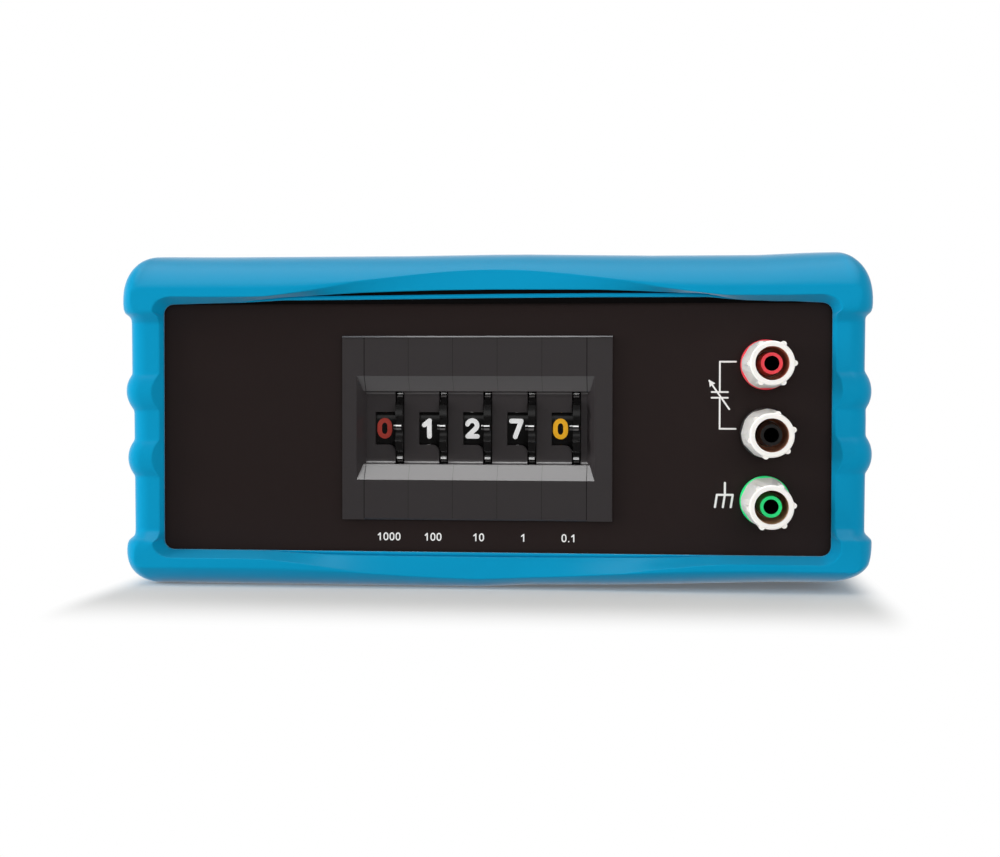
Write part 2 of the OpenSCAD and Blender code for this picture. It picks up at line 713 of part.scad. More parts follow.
// How far the mouth opens for each millimetre towards the front.
mouth_rate = (mouth_z - recess_h / 2) / (bezel_out + recess_y - cove_r);
module cheek(left) {
    sign_x = left ? -1 : 1;
    inner = left ? bank_left : bank_right;
    cheek_w = left ? left_cheek_w : right_cheek_w;
    color([0.22, 0.21, 0.21]) place() difference() {
        union() {
            translate([inner + (left ? -cheek_w : 0), -bezel_out, -bezel_h / 2])
                cube([cheek_w, bezel_out, bezel_h]);
            translate([inner + (left ? flange - cheek_w : 0), 0, -body_h / 2])
                cube([cheek_w - flange, body_d, body_h]);
            // snap catches behind the panel
            for (z = [-12, 12]) translate([inner + sign_x * (cheek_w - flange), 0, z - 4])
                linear_extrude(8)
                    polygon([[0, panel_t + 0.05], [sign_x * 1.6, panel_t + 0.05], [0, panel_t + 9]]);
        }
        // the mouth of the recess, mitred where its side meets its top and bottom
        intersection() {
            along_x(-case_w, 2 * case_w)
                polygon(concat([[-bezel_out - 1, mouth_z + mouth_rate], [-bezel_out - 1, -mouth_z - mouth_rate]],
                    cove(-1), [for (k = [cove_steps : -1 : 0]) cove(1)[k]]));
            translate([inner, 0, -case_h]) linear_extrude(2 * case_h)
                polygon([[-sign_x * 5, recess_y], [0, recess_y],
                    [sign_x * mouth_side * (bezel_out + 1 + recess_y) / (bezel_out + recess_y),
                     -bezel_out - 1], [-sign_x * 5, -bezel_out - 1]]);
        }
        for (p = tie_places) {
            bar_x(tie_hole, inner - 20, p[0], p[1], 40);
            if (left) bar_x(tie_head_r + 0.2, tie_seat - 10, p[0], p[1], 10);
            else bar_x(tie_nut_r + 0.2, tie_nut_seat, p[0], p[1], 10);
        }
    }
}

module left_cheek() {
    cheek(true);
}

module right_cheek() {
    cheek(false);
}

module tie_bolts() {
    color("silver") place() for (p = tie_places) difference() {
        union() {
            bar_x(tie_head_r, tie_seat - tie_head, p[0], p[1], tie_head);
            bar_x(tie_r, tie_seat, p[0], p[1], tie_nut_seat + tie_nut_t - tie_seat);
        }
        translate([tie_seat - tie_head, p[0], p[1]]) cube([1.6, 0.7, 6], center = true);
    }
}

module tie_nuts() {
    color("silver") place() for (p = tie_places) difference() {
        translate([tie_nut_seat, p[0], p[1]]) rotate([0, 90, 0])
            cylinder(r = tie_nut_r, h = tie_nut_t, $fn = 6);
        bar_x(tie_r + 0.02, tie_nut_seat - 1, p[0], p[1], 5);
    }
}

// Binding posts

module at_post(k) {
    place() translate([post_x, 0, post_zs[k]]) children();
}

// A turned part about the post's own axis. Its outline is drawn as [radius, distance ahead].
module turned() {
    rotate([90, 0, 0]) rotate_extrude() children();
}

module terminal_base(k) {
    color(post_colours[k]) at_post(k) difference() {
        union() {
            turned() polygon([[0, 0], [base_r, 0], [base_r, base_t - 0.4], [base_r - 0.4, base_t],
                [0, base_t]]);
            bar_y(5, 0, -0.5, 0, panel_t + 0.5 - 0.1);
        }
        bar_y(stud_r + 0.05, 0, -base_t - 1, 0, panel_t + base_t + 2);
    }
}

// A rod with two flats all along, threaded behind, and a wider screw thread in front.
module flat_sides(r, cut) {
    cube([2 * (r - cut), 200, 4 * r], center = true);
}

module terminal_stud(k) {
    color("silver") at_post(k) difference() {
        union() {
            bar_y(stud_r, 0, -base_t - 0.5, 0, stud_back + base_t + 0.5);
            intersection() {
                bar_y(thread_r, 0, -thread_end, 0, thread_end - base_t);
                flat_sides(thread_r, 0.4);
            }
            bar_y(sleeve_r - 0.5, 0, -post_len + sleeve_back + 0.6, 0, post_len - sleeve_back - thread_end);
        }
        bar_y(socket_r, 0, -post_len, 0, sleeve_back + socket_d);
    }
}

module terminal_sleeve(k) {
    len = post_len - sleeve_back - thread_end;
    color(post_colours[k]) at_post(k) difference() {
        bar_y(sleeve_r, 0, -post_len + sleeve_back, 0, len);
        bar_y(sleeve_r - 0.5, 0, -post_len + sleeve_back + 0.6, 0, len);
        bar_y(socket_r, 0, -post_len, 0, post_len);
    }
}

module clamp_washer(k) {
    color("silver") at_post(k) difference() {
        bar_y(washer_r, 0, -base_t - washer_t, 0, washer_t);
        intersection() {
            bar_y(thread_r + 0.05, 0, -base_t - 2, 0, 4);
            flat_sides(thread_r, 0.35);
        }
    }
}

lugs = 6;
lug_angles = [0, -14.5, -4.7];
knob_bore = thread_r + 0.06;
lug_r = 0.8;
// Reach of the six flats, as the radius of their corners at the knob's base and front.
flat_base = (knob_r - 0.2) / cos(30);
flat_front = (knob_front_r + 0.15) / cos(30);
module terminal_knob(k) {
    base = base_t;
    color("whitesmoke") at_post(k) difference() {
        union() {
            intersection() {
                turned() polygon([[0, base], [knob_r - 0.3, base], [knob_r, base + 0.5],
                    [knob_r, base + 4], [knob_front_r + 0.1, post_len - 0.3],
                    [knob_front_r - 0.2, post_len], [0, post_len]]);
                rotate([90, lug_angles[k], 0])
                    cylinder(r1 = flat_base, r2 = flat_front, h = post_len, $fn = lugs);
            }
            for (n = [0 : lugs - 1]) rotate([0, lug_angles[k] + 360 * n / lugs, 0])
                bar_y(lug_r, knob_front_r, -post_len + 0.25, 0, post_len - base - 4);
        }
        bar_y(washer_r + 0.3, 0, -base_t - washer_t - 0.05, 0, washer_t + 1);
        bar_y(knob_bore, 0, -post_len, 0, post_len);
        bar_y(shroud_r, 0, -post_len - 1, 0, post_len + 1 - thread_end - 0.3);
    }
}

module rear_insulators() {
    color("black") for (k = [0 : 2]) at_post(k) difference() {
        bar_y(base_r, 0, panel_t, 0, insulator_t);
        bar_y(stud_r + 0.05, 0, 0, 0, 10);
    }
}

// One nut clamps each post to the panel and a second one clamps its solder tag.
module terminal_nuts() {
    color("silver") for (k = [0 : 2], y = [nut_y, tag_y + tag_t]) at_post(k) difference() {
        translate([0, y, 0]) rotate([-90, 0, 0]) cylinder(r = nut_r, h = nut_t, $fn = 6);
        bar_y(stud_r + 0.02, 0, 0, 0, 30);
    }
}

tag_len = 11;
module solder_tags() {
    color("gold") for (k = [0 : 2]) at_post(k) difference() {
        union() {
            bar_y(4.2, 0, tag_y, 0, tag_t);
            translate([-tag_len, tag_y, -1.5]) cube([tag_len, tag_t, 3]);
        }
        bar_y(stud_r + 0.05, 0, 0, 0, 20);
    }
}

// Inside

tray_wide = 10;
tray_side = 14;
module shield_tray() {
    w = board_w + 2 * tray_wide;
    color("silver") place() difference() {
        union() {
            translate([-w / 2, board_y - 2, tray_z]) cube([w, board_d + 4, tray_t]);
            for (x = [-w / 2, w / 2 - tray_t]) translate([x, board_y - 2, tray_z])
                cube([tray_t, board_d + 4, tray_side]);
        }
        for (x = [-stake_x, stake_x], y = stake_ys) bar_z(1.6, x, y, tray_z - 1, 4);
        for (x = [-pillar_x, pillar_x], y = pillar_ys) bar_z(1.6, x, y, tray_z - 1, 4);
    }
}

module board_standoffs() {
    color("ivory") place() for (x = [-pillar_x, pillar_x], y = pillar_ys) {
        bar_z(3, x, y, tray_z + tray_t, board_lift);
        bar_z(1.5, x, y, tray_z - 0.4, board_lift + tray_t + board_t + 1.4);
        bar_z(1.9, x, y, tray_z - 1.2, 1.2);
        bar_z(1.9, x, y, board_top, 1);
    }
}

// Where a film capacitor of one decade and one code value stands.
function film_size(d, v) = film_sizes[d] * (v == 4 ? 1.12 : v == 2 ? 1 : 0.86);

module lead_holes() {
    for (d = [0 : len(decade_xs) - 1], r = [0 : 3]) {
        reach = d < len(film_sizes) ? film_size(d, code_values[r])[0] / 2 - 1.6 : 2.5;
        for (s = [-1, 1]) translate([decade_xs[d] + s * reach, row_ys[r], 0]) children();
    }
}

module capacitor_board() {
    color("seagreen") place() difference() {
        translate([-board_w / 2, board_y, board_z]) cube([board_w, board_d, board_t]);
        lead_holes() bar_z(lead_hole, 0, 0, board_z - 1, board_t + 2);
        for (x = [-pillar_x, pillar_x], y = pillar_ys) bar_z(1.6, x, y, board_z - 1, 4);
    }
}

module film_capacitors() {
    color("khaki") place() for (d = [0 : len(film_sizes) - 1], r = [0 : 3]) {
        size = film_size(d, code_values[r]);
        translate([decade_xs[d] - size[0] / 2, row_ys[r] - size[1] / 2, board_top])
            cube(size);
        for (s = [-1, 1])
            bar_z(lead_r, decade_xs[d] + s * (size[0] / 2 - 1.6), row_ys[r], board_z - 1.5, board_t + 2);
    }
}

module mica_capacitors() {
    color("saddlebrown") place() for (r = [0 : 3]) {
        bar_y(mica_r, decade_xs[4], row_ys[r] - mica_t / 2, mica_z, mica_t);
        for (s = [-1, 1])
            bar_z(lead_r, decade_xs[4] + s * 2.5, row_ys[r], board_z - 1.5, board_t + 4);
    }
}

// Swept wire

function curve_pt(p, i, t) =
    let (n = len(p) - 1, a = p[max(0, i - 1)], b = p[i], c = p[min(n, i + 1)], d = p[min(n, i + 2)])
    0.5 * (2 * b + (c - a) * t + (2 * a - 5 * b + 4 * c - d) * t * t
        + (3 * b - 3 * c + d - a) * t * t * t);
function unit(v) = v / norm(v);
function wire_path(p) = concat([for (i = [0 : len(p) - 2], t = [0, 0.5]) curve_pt(p, i, t)],
    [p[len(p) - 1]]);

module swept(path, r, sides) {
    n = len(path);
    rings = [for (i = [0 : n - 1])
        let (d = unit(path[min(n - 1, i + 1)] - path[max(0, i - 1)]),
             side = unit(cross(d, [1, 0, 0])), up = cross(side, d))
        [for (k = [0 : sides - 1]) path[i] + r * (side * cos(360 * k / sides) + up * sin(360 * k / sides))]];
    points = [for (ring = rings) each ring];
    walls = [for (i = [0 : n - 2], k = [0 : sides - 1])
        let (a = i * sides + k, b = i * sides + (k + 1) % sides)
        each [[a, b, b + sides], [a, b + sides, a + sides]]];
    ends = [[for (k = [sides - 1 : -1 : 0]) k], [for (k = [0 : sides - 1]) (n - 1) * sides + k]];
    polyhedron(points, concat(walls, ends), convexity = 6);
}

// Each wire leaves its tag backwards, sags to the board and ends upright on it.
function wire_points(k) =
    let (a = [wire_start_x, wire_start_y, post_zs[k]],
         e = [wire_lands[k][0], wire_lands[k][1], board_top + wire_gap],
         b = a + [0, wire_lead, 0], d = e + [0, 0, 3])
    concat([a, b], [for (t = [0.14 : 0.12 : 0.9])
        let (h = t * t * (3 - 2 * t))
        [mix(b[0], d[0], h), mix(b[1], d[1], 0.5 * (t + pow(t, 0.6))), mix(b[2], d[2], h)]], [d, e]);

module terminal_wires() {
    color("crimson") place() for (k = [0 : 2]) swept(wire_path(wire_points(k)), wire_r, wire_sides);
}

ribbon_w = 7;
ribbon_t = 0.9;
module switch_ribbons() {
    y = contact_back;
    color("lightgray") place() for (i = [0 : wheels - 1])
        along_x(bank_left + i * module_w + board_x - ribbon_w / 2, ribbon_w)
            polygon([[y, -8], [y + 3, -8.2], [y + 5.5, -10], [y + 7, -14], [y + 12, board_top],
                [y + 13, board_top], [y + 8, -14.4], [y + 6.3, -9.4], [y + 3.3, -7.2], [y, -7]]);
}

rubber_boot();
case_bottom();
case_top();
case_screws();
front_panel();
rear_panel();
left_cheek();
right_cheek();
switch_housing(0);  // switch_housing_1
switch_housing(1);  // switch_housing_2
switch_housing(2);  // switch_housing_3
switch_housing(3);  // switch_housing_4
switch_housing(4);  // switch_housing_5
thumbwheel(0);  // thumbwheel_1
thumbwheel(1);  // thumbwheel_2
thumbwheel(2);  // thumbwheel_3
thumbwheel(3);  // thumbwheel_4
thumbwheel(4);  // thumbwheel_5
contact_brush(0);  // contact_brush_1
contact_brush(1);  // contact_brush_2
contact_brush(2);  // contact_brush_3
contact_brush(3);  // contact_brush_4
contact_brush(4);  // contact_brush_5
detent_spring(0);  // detent_spring_1
detent_spring(1);  // detent_spring_2
detent_spring(2);  // detent_spring_3
detent_spring(3);  // detent_spring_4
detent_spring(4);  // detent_spring_5
contact_board(0);  // contact_board_1
contact_board(1);  // contact_board_2
contact_board(2);  // contact_board_3
contact_board(3);  // contact_board_4
contact_board(4);  // contact_board_5
tie_bolts();
tie_nuts();
terminal_base(0);  // red_base
terminal_base(1);  // black_base
terminal_base(2);  // green_base
terminal_stud(0);  // red_stud
terminal_stud(1);  // black_stud
terminal_stud(2);  // green_stud
terminal_sleeve(0);  // red_sleeve
terminal_sleeve(1);  // black_sleeve
terminal_sleeve(2);  // green_sleeve
clamp_washer(0);  // red_clamp_washer
clamp_washer(1);  // black_clamp_washer
clamp_washer(2);  // green_clamp_washer
terminal_knob(0);  // red_knob
terminal_knob(1);  // black_knob
terminal_knob(2);  // green_knob
rear_insulators();
terminal_nuts();
solder_tags();
shield_tray();
board_standoffs();
capacitor_board();
film_capacitors();
mica_capacitors();
terminal_wires();
switch_ribbons();
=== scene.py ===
"""Capacitance decade box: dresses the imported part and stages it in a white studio.

Lengths in the classes are millimetres from the middle of the front panel's face: x to the
right, y into the case, z up. Workshop.piece() turns them into metres in the row's own frame.
"""

import logging
import math
from dataclasses import dataclass, field
from enum import Enum, IntEnum
from typing import Callable, Sequence

import bmesh
import bpy
import numpy as np
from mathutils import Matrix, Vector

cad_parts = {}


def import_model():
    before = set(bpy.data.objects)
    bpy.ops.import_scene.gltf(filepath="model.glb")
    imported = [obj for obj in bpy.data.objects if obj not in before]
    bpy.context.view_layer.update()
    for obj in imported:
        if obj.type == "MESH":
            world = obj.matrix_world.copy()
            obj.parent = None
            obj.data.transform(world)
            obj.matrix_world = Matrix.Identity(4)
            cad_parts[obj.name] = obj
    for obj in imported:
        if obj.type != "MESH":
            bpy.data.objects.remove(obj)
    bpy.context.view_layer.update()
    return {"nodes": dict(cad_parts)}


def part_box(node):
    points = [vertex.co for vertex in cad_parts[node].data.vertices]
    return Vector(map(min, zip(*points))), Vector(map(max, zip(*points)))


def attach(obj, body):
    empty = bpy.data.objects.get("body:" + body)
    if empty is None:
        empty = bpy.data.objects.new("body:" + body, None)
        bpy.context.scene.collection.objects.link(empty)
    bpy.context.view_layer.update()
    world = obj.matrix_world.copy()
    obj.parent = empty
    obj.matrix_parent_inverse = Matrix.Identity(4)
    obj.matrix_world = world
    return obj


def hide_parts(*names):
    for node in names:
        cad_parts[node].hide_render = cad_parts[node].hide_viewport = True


LOG = logging.getLogger("decade_box")
MM = 0.001
PHOTO_SIZE = (1000, 857)

Array = np.ndarray
Pair = tuple[float, float]
Triple = tuple[float, float, float]
Floats = tuple[float, ...]
# Places along x, and the value at each. Values between two places are on a straight line.
Curve = tuple[Floats, Floats]
# Points, and the point numbers of each face.
Mesh = tuple[Array, Array | list]
# Takes flat coordinates (right, up) and a height, and gives millimetre points.
Surface = Callable[[Array, Array, float], Array]


# Colours and node trees


def linear(code: str) -> tuple[float, float, float, float]:
    """Turns an sRGB hex code into a linear colour.

    Each channel c is c / 12.92 below 0.04045, and ((c + 0.055) / 1.055) ** 2.4 above it.

    Args:
        code: six hex digits, such as "078db9".

    Returns:
        Linear red, green, blue and an alpha of 1.
    """
    parts = np.array([int(code[k : k + 2], 16) / 255 for k in (0, 2, 4)])
    values = np.where(parts <= 0.04045, parts / 12.92, ((parts + 0.055) / 1.055) ** 2.4)
    return (*(float(v) for v in values), 1.0)


def add_node(tree: bpy.types.NodeTree, kind: str, settings: dict | None = None,
             links: dict | None = None) -> bpy.types.Node:
    """Adds one node to a tree.

    Args:
        tree: the node tree.
        kind: the node's Blender type, without "ShaderNode".
        settings: attribute names, or input names, with their values.
        links: input names or numbers, with the output sockets that feed them.

    Returns:
        The new node.
    """
    made = tree.nodes.new("ShaderNode" + kind)
    for name, value in (settings or {}).items():
        if hasattr(made, name):
            setattr(made, name, value)
        else:
            made.inputs[name].default_value = value
    for name, socket in (links or {}).items():
        tree.links.new(socket, made.inputs[name])
    return made


def empty_tree(owner: bpy.types.Material | bpy.types.World) -> bpy.types.NodeTree:
    """Returns the node tree of a material or a world, emptied."""
    owner.use_nodes = True
    owner.node_tree.nodes.clear()
    return owner.node_tree


@dataclass(frozen=True)
class Finish:
    """A finish: what a surface is made of and how it was made.

    grain is the size in millimetres of the moulded texture, and relief its height.
    """

    name: str
    colour: str
    roughness: float = 0.5
    metallic: float = 0.0
    specular: float = 0.5
    grain: float = 0.0
    relief: float = 0.0
    scatter: float = 0.0
    scatter_depth: float = 0.8
    sheen: float = 0.0
    sheen_roughness: float = 0.3

    def material(self) -> bpy.types.Material:
        """Returns this finish's material, which is built once."""
        return bpy.data.materials.get(self.name) or self._build()

    def _build(self) -> bpy.types.Material:
        """Builds the node tree: one shader, with a noise bump where the finish has a grain."""
        made = bpy.data.materials.new(self.name)
        tree = empty_tree(made)
        settings = {"Base Color": linear(self.colour), "Roughness": self.roughness,
                    "Metallic": self.metallic, "Specular IOR Level": self.specular,
                    "Sheen Weight": self.sheen, "Sheen Roughness": self.sheen_roughness}
        if self.scatter:
            settings |= {"Subsurface Weight": self.scatter, "Subsurface Radius": (1.0, 0.8, 0.6),
                         "Subsurface Scale": self.scatter_depth * MM}
        shader = add_node(tree, "BsdfPrincipled", settings)
        if self.grain:
            place = add_node(tree, "TexCoord")
            noise = add_node(tree, "TexNoise", {"Scale": 1 / (self.grain * MM), "Detail": 2.0},
                             {"Vector": place.outputs["Object"]})
            bump = add_node(tree, "Bump", {"Strength": 1.0, "Distance": self.relief * MM},
                            {"Height": noise.outputs[0]})
            tree.links.new(bump.outputs[0], shader.inputs["Normal"])
        add_node(tree, "OutputMaterial", None, {"Surface": shader.outputs[0]})
        return made


# Thermoplastic rubber, moulded in a fine sparked cavity: deep even blue with a soft sheen.
BOOT_RUBBER = Finish("moulded_rubber_blue", "0693c0", roughness=0.35, specular=0.04,
                     grain=0.5, relief=0.006, sheen=0.45)
# ABS from a textured mould: black with a broad dull highlight.
CASE_ABS = Finish("textured_abs_black", "1c1c1d", roughness=0.6, grain=0.4, relief=0.02)
# Screen-printed polycarbonate film, matt side out: warm black that hardly reflects.
PANEL_FILM = Finish("matt_film_black", "261d1c", roughness=0.5, specular=0.15)
# Glass-filled nylon, satin from the mould: dark grey that catches light on its slopes.
SWITCH_NYLON = Finish("satin_nylon_charcoal", "373334", roughness=0.3, specular=0.85,
                      grain=0.6, relief=0.006)
# Acetal, polished mould: black with sharp small reflections.
WHEEL_ACETAL = Finish("gloss_acetal_black", "171616", roughness=0.2, specular=0.4)
# ABS, polished mould: warm white, faintly translucent at its edges.
KNOB_ABS = Finish("gloss_abs_white", "fbf8f3", roughness=0.28, specular=0.5, scatter=0.15)
# Painted shade inside the knob's recess, seen through its mouth: the warm brown that the white
# plastic takes in its shadow.
KNOB_RECESS_SHADE = Finish("recess_painted_shade_brown", "dba081", roughness=0.45, specular=0.3)
# Painted shade lining a socket's bore and closing it at its floor: black.
BORE_DARK = Finish("bore_shade_black", "0c0a09", roughness=0.7, specular=0.1)
# Polyamide insulators, polished: clear bright signal colours.
RED_NYLON = Finish("gloss_nylon_red", "fb4552", roughness=0.3)
BLACK_NYLON = Finish("gloss_nylon_black", "262626", roughness=0.35)
GREEN_NYLON = Finish("gloss_nylon_green", "20ee88", roughness=0.3)
# Nickel plate on turned brass: warm bright metal.
NICKEL = Finish("nickel_plate", "b9b3a8", roughness=0.25, metallic=1.0)
# Bright zinc plate on steel.
ZINC = Finish("zinc_plate", "b4b6ba", roughness=0.35, metallic=1.0)
# Hard-rolled stainless spring strip.
SPRING_STEEL = Finish("spring_steel", "a9abad", roughness=0.3, metallic=1.0)
# Phosphor bronze strip.
SPRING_BRONZE = Finish("phosphor_bronze", "c08a52", roughness=0.3, metallic=1.0)
# Tinned steel sheet, rolled.
TINPLATE = Finish("tinplate", "b3b4b5", roughness=0.3, metallic=1.0)
# Glass-epoxy laminate under green solder mask.
LAMINATE = Finish("solder_mask_green", "1f6b3c", roughness=0.35)
# Epoxy dip on film capacitors: amber, glossy.
FILM_RESIN = Finish("epoxy_dip_amber", "b8862b", roughness=0.25)
# Phenolic dip on silvered mica capacitors: dark brown.
MICA_RESIN = Finish("phenolic_dip_brown", "6b3a22", roughness=0.3)
# Unfilled nylon, as moulded.
NATURAL_NYLON = Finish("natural_nylon", "d8d3c4", roughness=0.45)
# Extruded PVC, on the wires and on the ribbons.
WIRE_PVC = Finish("wire_pvc_red", "b3262b", roughness=0.4)
RIBBON_PVC = Finish("ribbon_pvc_grey", "9fa2a6", roughness=0.45)
# Screen ink on the panel, and two-shot moulded figures on the wheels: opaque colours.
INK_WHITE = Finish("screen_ink_white", "f2f1ef", roughness=0.5, specular=0.2)
FIGURE_WHITE = Finish("figure_white", "ffffff", roughness=0.4, specular=0.3)
FIGURE_RED = Finish("figure_red", "a8372c", roughness=0.45, specular=0.3)
FIGURE_AMBER = Finish("figure_amber", "ffbb1c", roughness=0.4, specular=0.3)
# Painted reflection of the floor on the lower edge of each index bar, below its white line: satin
# grey.
MARK_REFLECTION_GREY = Finish("index_grey", "565454", roughness=0.25)
# The bare gaps between neighbouring mouldings read as black lines. The same black is painted shade
# on the case's rim above the panel and at the back of the gap under the boot's swoop.
JOINT_AND_SHADE_DARK = Finish("seams_and_painted_shade", "0d0c0c", roughness=0.9, specular=0.0)
# Black felt on the cards that stand round the camera.
FLAG_FELT = Finish("flag_felt", "191919", roughness=1.0, specular=0.0)

NODE_FINISHES: dict[str, Finish] = {
    "rubber_boot": BOOT_RUBBER, "case_": CASE_ABS, "case_screws": ZINC, "_panel": PANEL_FILM,
    "_cheek": SWITCH_NYLON, "switch_housing": SWITCH_NYLON, "thumbwheel": WHEEL_ACETAL,
    "contact_brush": SPRING_BRONZE, "detent_spring": SPRING_STEEL, "contact_board": LAMINATE,
    "tie_": ZINC, "red_base": RED_NYLON, "black_base": BLACK_NYLON, "green_base": GREEN_NYLON,
    "red_sleeve": RED_NYLON, "black_sleeve": BLACK_NYLON, "green_sleeve": GREEN_NYLON,
    "_stud": NICKEL, "_clamp_washer": NICKEL, "_knob": KNOB_ABS, "rear_insulators": BLACK_NYLON,
    "terminal_nuts": NICKEL, "solder_tags": NICKEL, "shield_tray": TINPLATE,
    "board_standoffs": NATURAL_NYLON, "capacitor_board": LAMINATE,
    "film_capacitors": FILM_RESIN, "mica_capacitors": MICA_RESIN, "terminal_wires": WIRE_PVC,
    "switch_ribbons": RIBBON_PVC}


def finish_of(node: str) -> Finish:
    """Returns the finish of a CAD node: that of the longest key which its name holds."""
    return NODE_FINISHES[max((key for key in NODE_FINISHES if key in node), key=len)]


# Mesh helpers


def grid_faces(rows: int, columns: int, round_rows: bool = False,
               round_columns: bool = False) -> Array:
    """Quads of a grid of points, stored row by row.

    Args:
        rows: number of rows.
        columns: number of points in a row.
        round_rows: whether the last row joins the first.
        round_columns: whether the last point of a row joins its first.

    Returns:
        An array of quads, four point numbers each.
    """
    row = np.arange(rows if round_rows else rows - 1)
    column = np.arange(columns if round_columns else columns - 1)
    r, c = np.meshgrid(row, column, indexing="ij")
    r2, c2 = (r + 1) % rows, (c + 1) % columns
    quads = np.stack([r * columns + c, r * columns + c2, r2 * columns + c2, r2 * columns + c], -1)
    return quads.reshape(-1, 4)


def soften(points: Array, axis: int, passes: int, closed: bool = True) -> Array:
    """Rounds the edges of a grid: each pass is a quarter, a half and a quarter of neighbours.

    Args:
        points: the grid, with coordinates on its last axis.
        axis: the axis along which edges are rounded.
        passes: number of passes.
        closed: whether that axis wraps round.

    Returns:
        The rounded grid.
    """
    for _ in range(passes):
        near = np.roll(points, 1, axis) + np.roll(points, -1, axis)
        new = points / 2 + near / 4
        if not closed:
            ends = [slice(None)] * points.ndim
            for end in (0, -1):
                ends[axis] = end
                new[tuple(ends)] = points[tuple(ends)]
        points = new
    return points


def between(start: Array, end: Array, count: int, near: float) -> Array:
    """Rows from one row of points to another, close together at both ends.

    A row's share of the way is near / length times its number from the nearer end, and the
    rows in the middle take what is left in equal steps.

    Args:
        start: first row of points.
        end: last row of points.
        count: number of steps.
        near: spacing in millimetres next to each end.

    Returns:
        count rows, with the first row and without the last.
    """
    length = np.linalg.norm(end - start, axis=-1)
    step = np.minimum(near / np.maximum(length, 1e-6), 1 / count)
    number = np.arange(count)[:, None]
    edge = min(3, (count - 1) // 2)
    middle = (1 - 2 * edge * step) / (count - 2 * edge)
    share = np.where(number <= edge, number * step, edge * step + (number - edge) * middle)
    share = np.where(number > count - edge, 1 - (count - number) * step, share)
    return start[None] + share[..., None] * (end - start)[None]



def joined(parts: Sequence[Mesh]) -> Mesh:
    """Joins pairs of points and faces into one pair."""
    first = np.cumsum([0] + [len(points) for points, _ in parts])
    return (np.concatenate([points for points, _ in parts]),
            np.concatenate([faces + start for (_, faces), start in zip(parts, first)]))


def merged(mesh: bpy.types.Mesh, weld: float = 1e-6, flat: float = 0.5) -> tuple[Array, list]:
    """Welds a CAD mesh's loose triangles, and joins those that lie in one plane.

    Args:
        mesh: the mesh, in metres.
        weld: largest distance in metres between points that are one.
        flat: largest angle in degrees across an edge that goes.

    Returns:
        Its points in metres, and the point numbers of each face.
    """
    work = bmesh.new()
    work.from_mesh(mesh)
    bmesh.ops.remove_doubles(work, verts=work.verts, dist=weld)
    bmesh.ops.dissolve_limit(work, angle_limit=math.radians(flat), verts=work.verts,
                             edges=work.edges)
    points = np.array([v.co[:] for v in work.verts])
    work.verts.index_update()
    faces = [[v.index for v in face.verts] for face in work.faces]
    work.free()
    return points, faces


def add_object(name: str, data: bpy.types.ID) -> bpy.types.Object:
    """Returns a new object in the scene, made of a mesh, camera or lamp."""
    made = bpy.data.objects.new(name, data)
    bpy.context.scene.collection.objects.link(made)
    return made


def add_mesh(name: str, points: Array, faces: Array | list,
             material: bpy.types.Material) -> bpy.types.Object:
    """Returns a new mesh object, from points in metres and the point numbers of each face."""
    mesh = bpy.data.meshes.new(name)
    mesh.from_pydata(points.tolist(), [], faces.tolist() if isinstance(faces, Array) else faces)
    mesh.materials.append(material)
    return add_object(name, mesh)


@dataclass
class Workshop:
    """Makes pieces from millimetre arrays and sets them in the row's frame."""

    origin: Array
    made: int = 0

    @classmethod
    def from_frame(cls) -> "Workshop":
        """Returns a workshop whose origin is the middle of the front panel's face."""
        low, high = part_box("front_panel")
        return cls(np.array([0.0, low[1] / MM, (low[2] + high[2]) / 2 / MM]))

    def piece(self, name: str, mesh: Mesh, finish: Finish, body: str = "instrument",
              smooth: bool = False, replaces: Sequence[str] = ()) -> None:
        """Builds one piece.

        Args:
            name: the piece's name.
            mesh: millimetre points from the panel's middle, and the point numbers of each face.
            finish: its finish.
            body: the CAD body it moves with.
            smooth: whether its faces are shaded smooth.
            replaces: CAD nodes that it stands for.
        """
        points, faces = mesh
        made = add_mesh(name, (points.reshape(-1, 3) + self.origin) * MM, faces,
                        finish.material())
        count = len(made.data.polygons)
        made.data.polygons.foreach_set("use_smooth", np.full(count, smooth))
        made.data.update()
        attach(made, body)
        if replaces:
            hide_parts(*replaces)
        self.made += 1
        LOG.info("%s: %d faces on %s", name, count, body)


# Rubber boot


class Place(IntEnum):
    """Where a station lies on the boot's front view."""

    SIDE = 0
    CORNER = 1
    RUN = 2


@dataclass
class Stations:
    """Stations round the front view: their place, side sign, top sign and own value.

    The value is x on a run, z on a side, and an angle in degrees on a corner.
    """

    place: Array
    side: Array
    top: Array
    value: Array

    @classmethod
    def around(cls, run: float, edge: float, counts: tuple[int, int, int]) -> "Stations":
        """Lays stations once round, from the top right, leftwards.

        Args:
            run: half length of the straight top and bottom.
            edge: height at which the sides end.
            counts: stations on a run, on a corner and on a side.

        Returns:
            The stations.
        """
        along, turn, down = (np.linspace(*ends, count) for ends, count in zip(
            ((run, -run), (90, 0), (edge, -edge)), counts))
        parts = [(Place.RUN, 0, 1, along), (Place.CORNER, -1, 1, turn), (Place.SIDE, -1, 0, down),
                 (Place.CORNER, -1, -1, turn[::-1]), (Place.RUN, 0, -1, along[::-1]),
                 (Place.CORNER, 1, -1, turn), (Place.SIDE, 1, 0, down[::-1]),
                 (Place.CORNER, 1, 1, turn[::-1])]
        return cls(*np.concatenate([np.stack(np.broadcast_arrays(*part)) for part in parts], 1))

    @property
    def runs(self) -> Array:
        """Which stations lie on a run."""
        return self.place == Place.RUN

    def choose(self, run: float | Array, corner: float | Array, side: Array) -> Array:
        """Takes each station's value from the array for its place."""
        runs, corners = self.runs, self.place == Place.CORNER
        if side.ndim == 2:
            runs, corners = runs[:, None], corners[:, None]
        return np.where(runs, run, np.where(corners, corner, side))


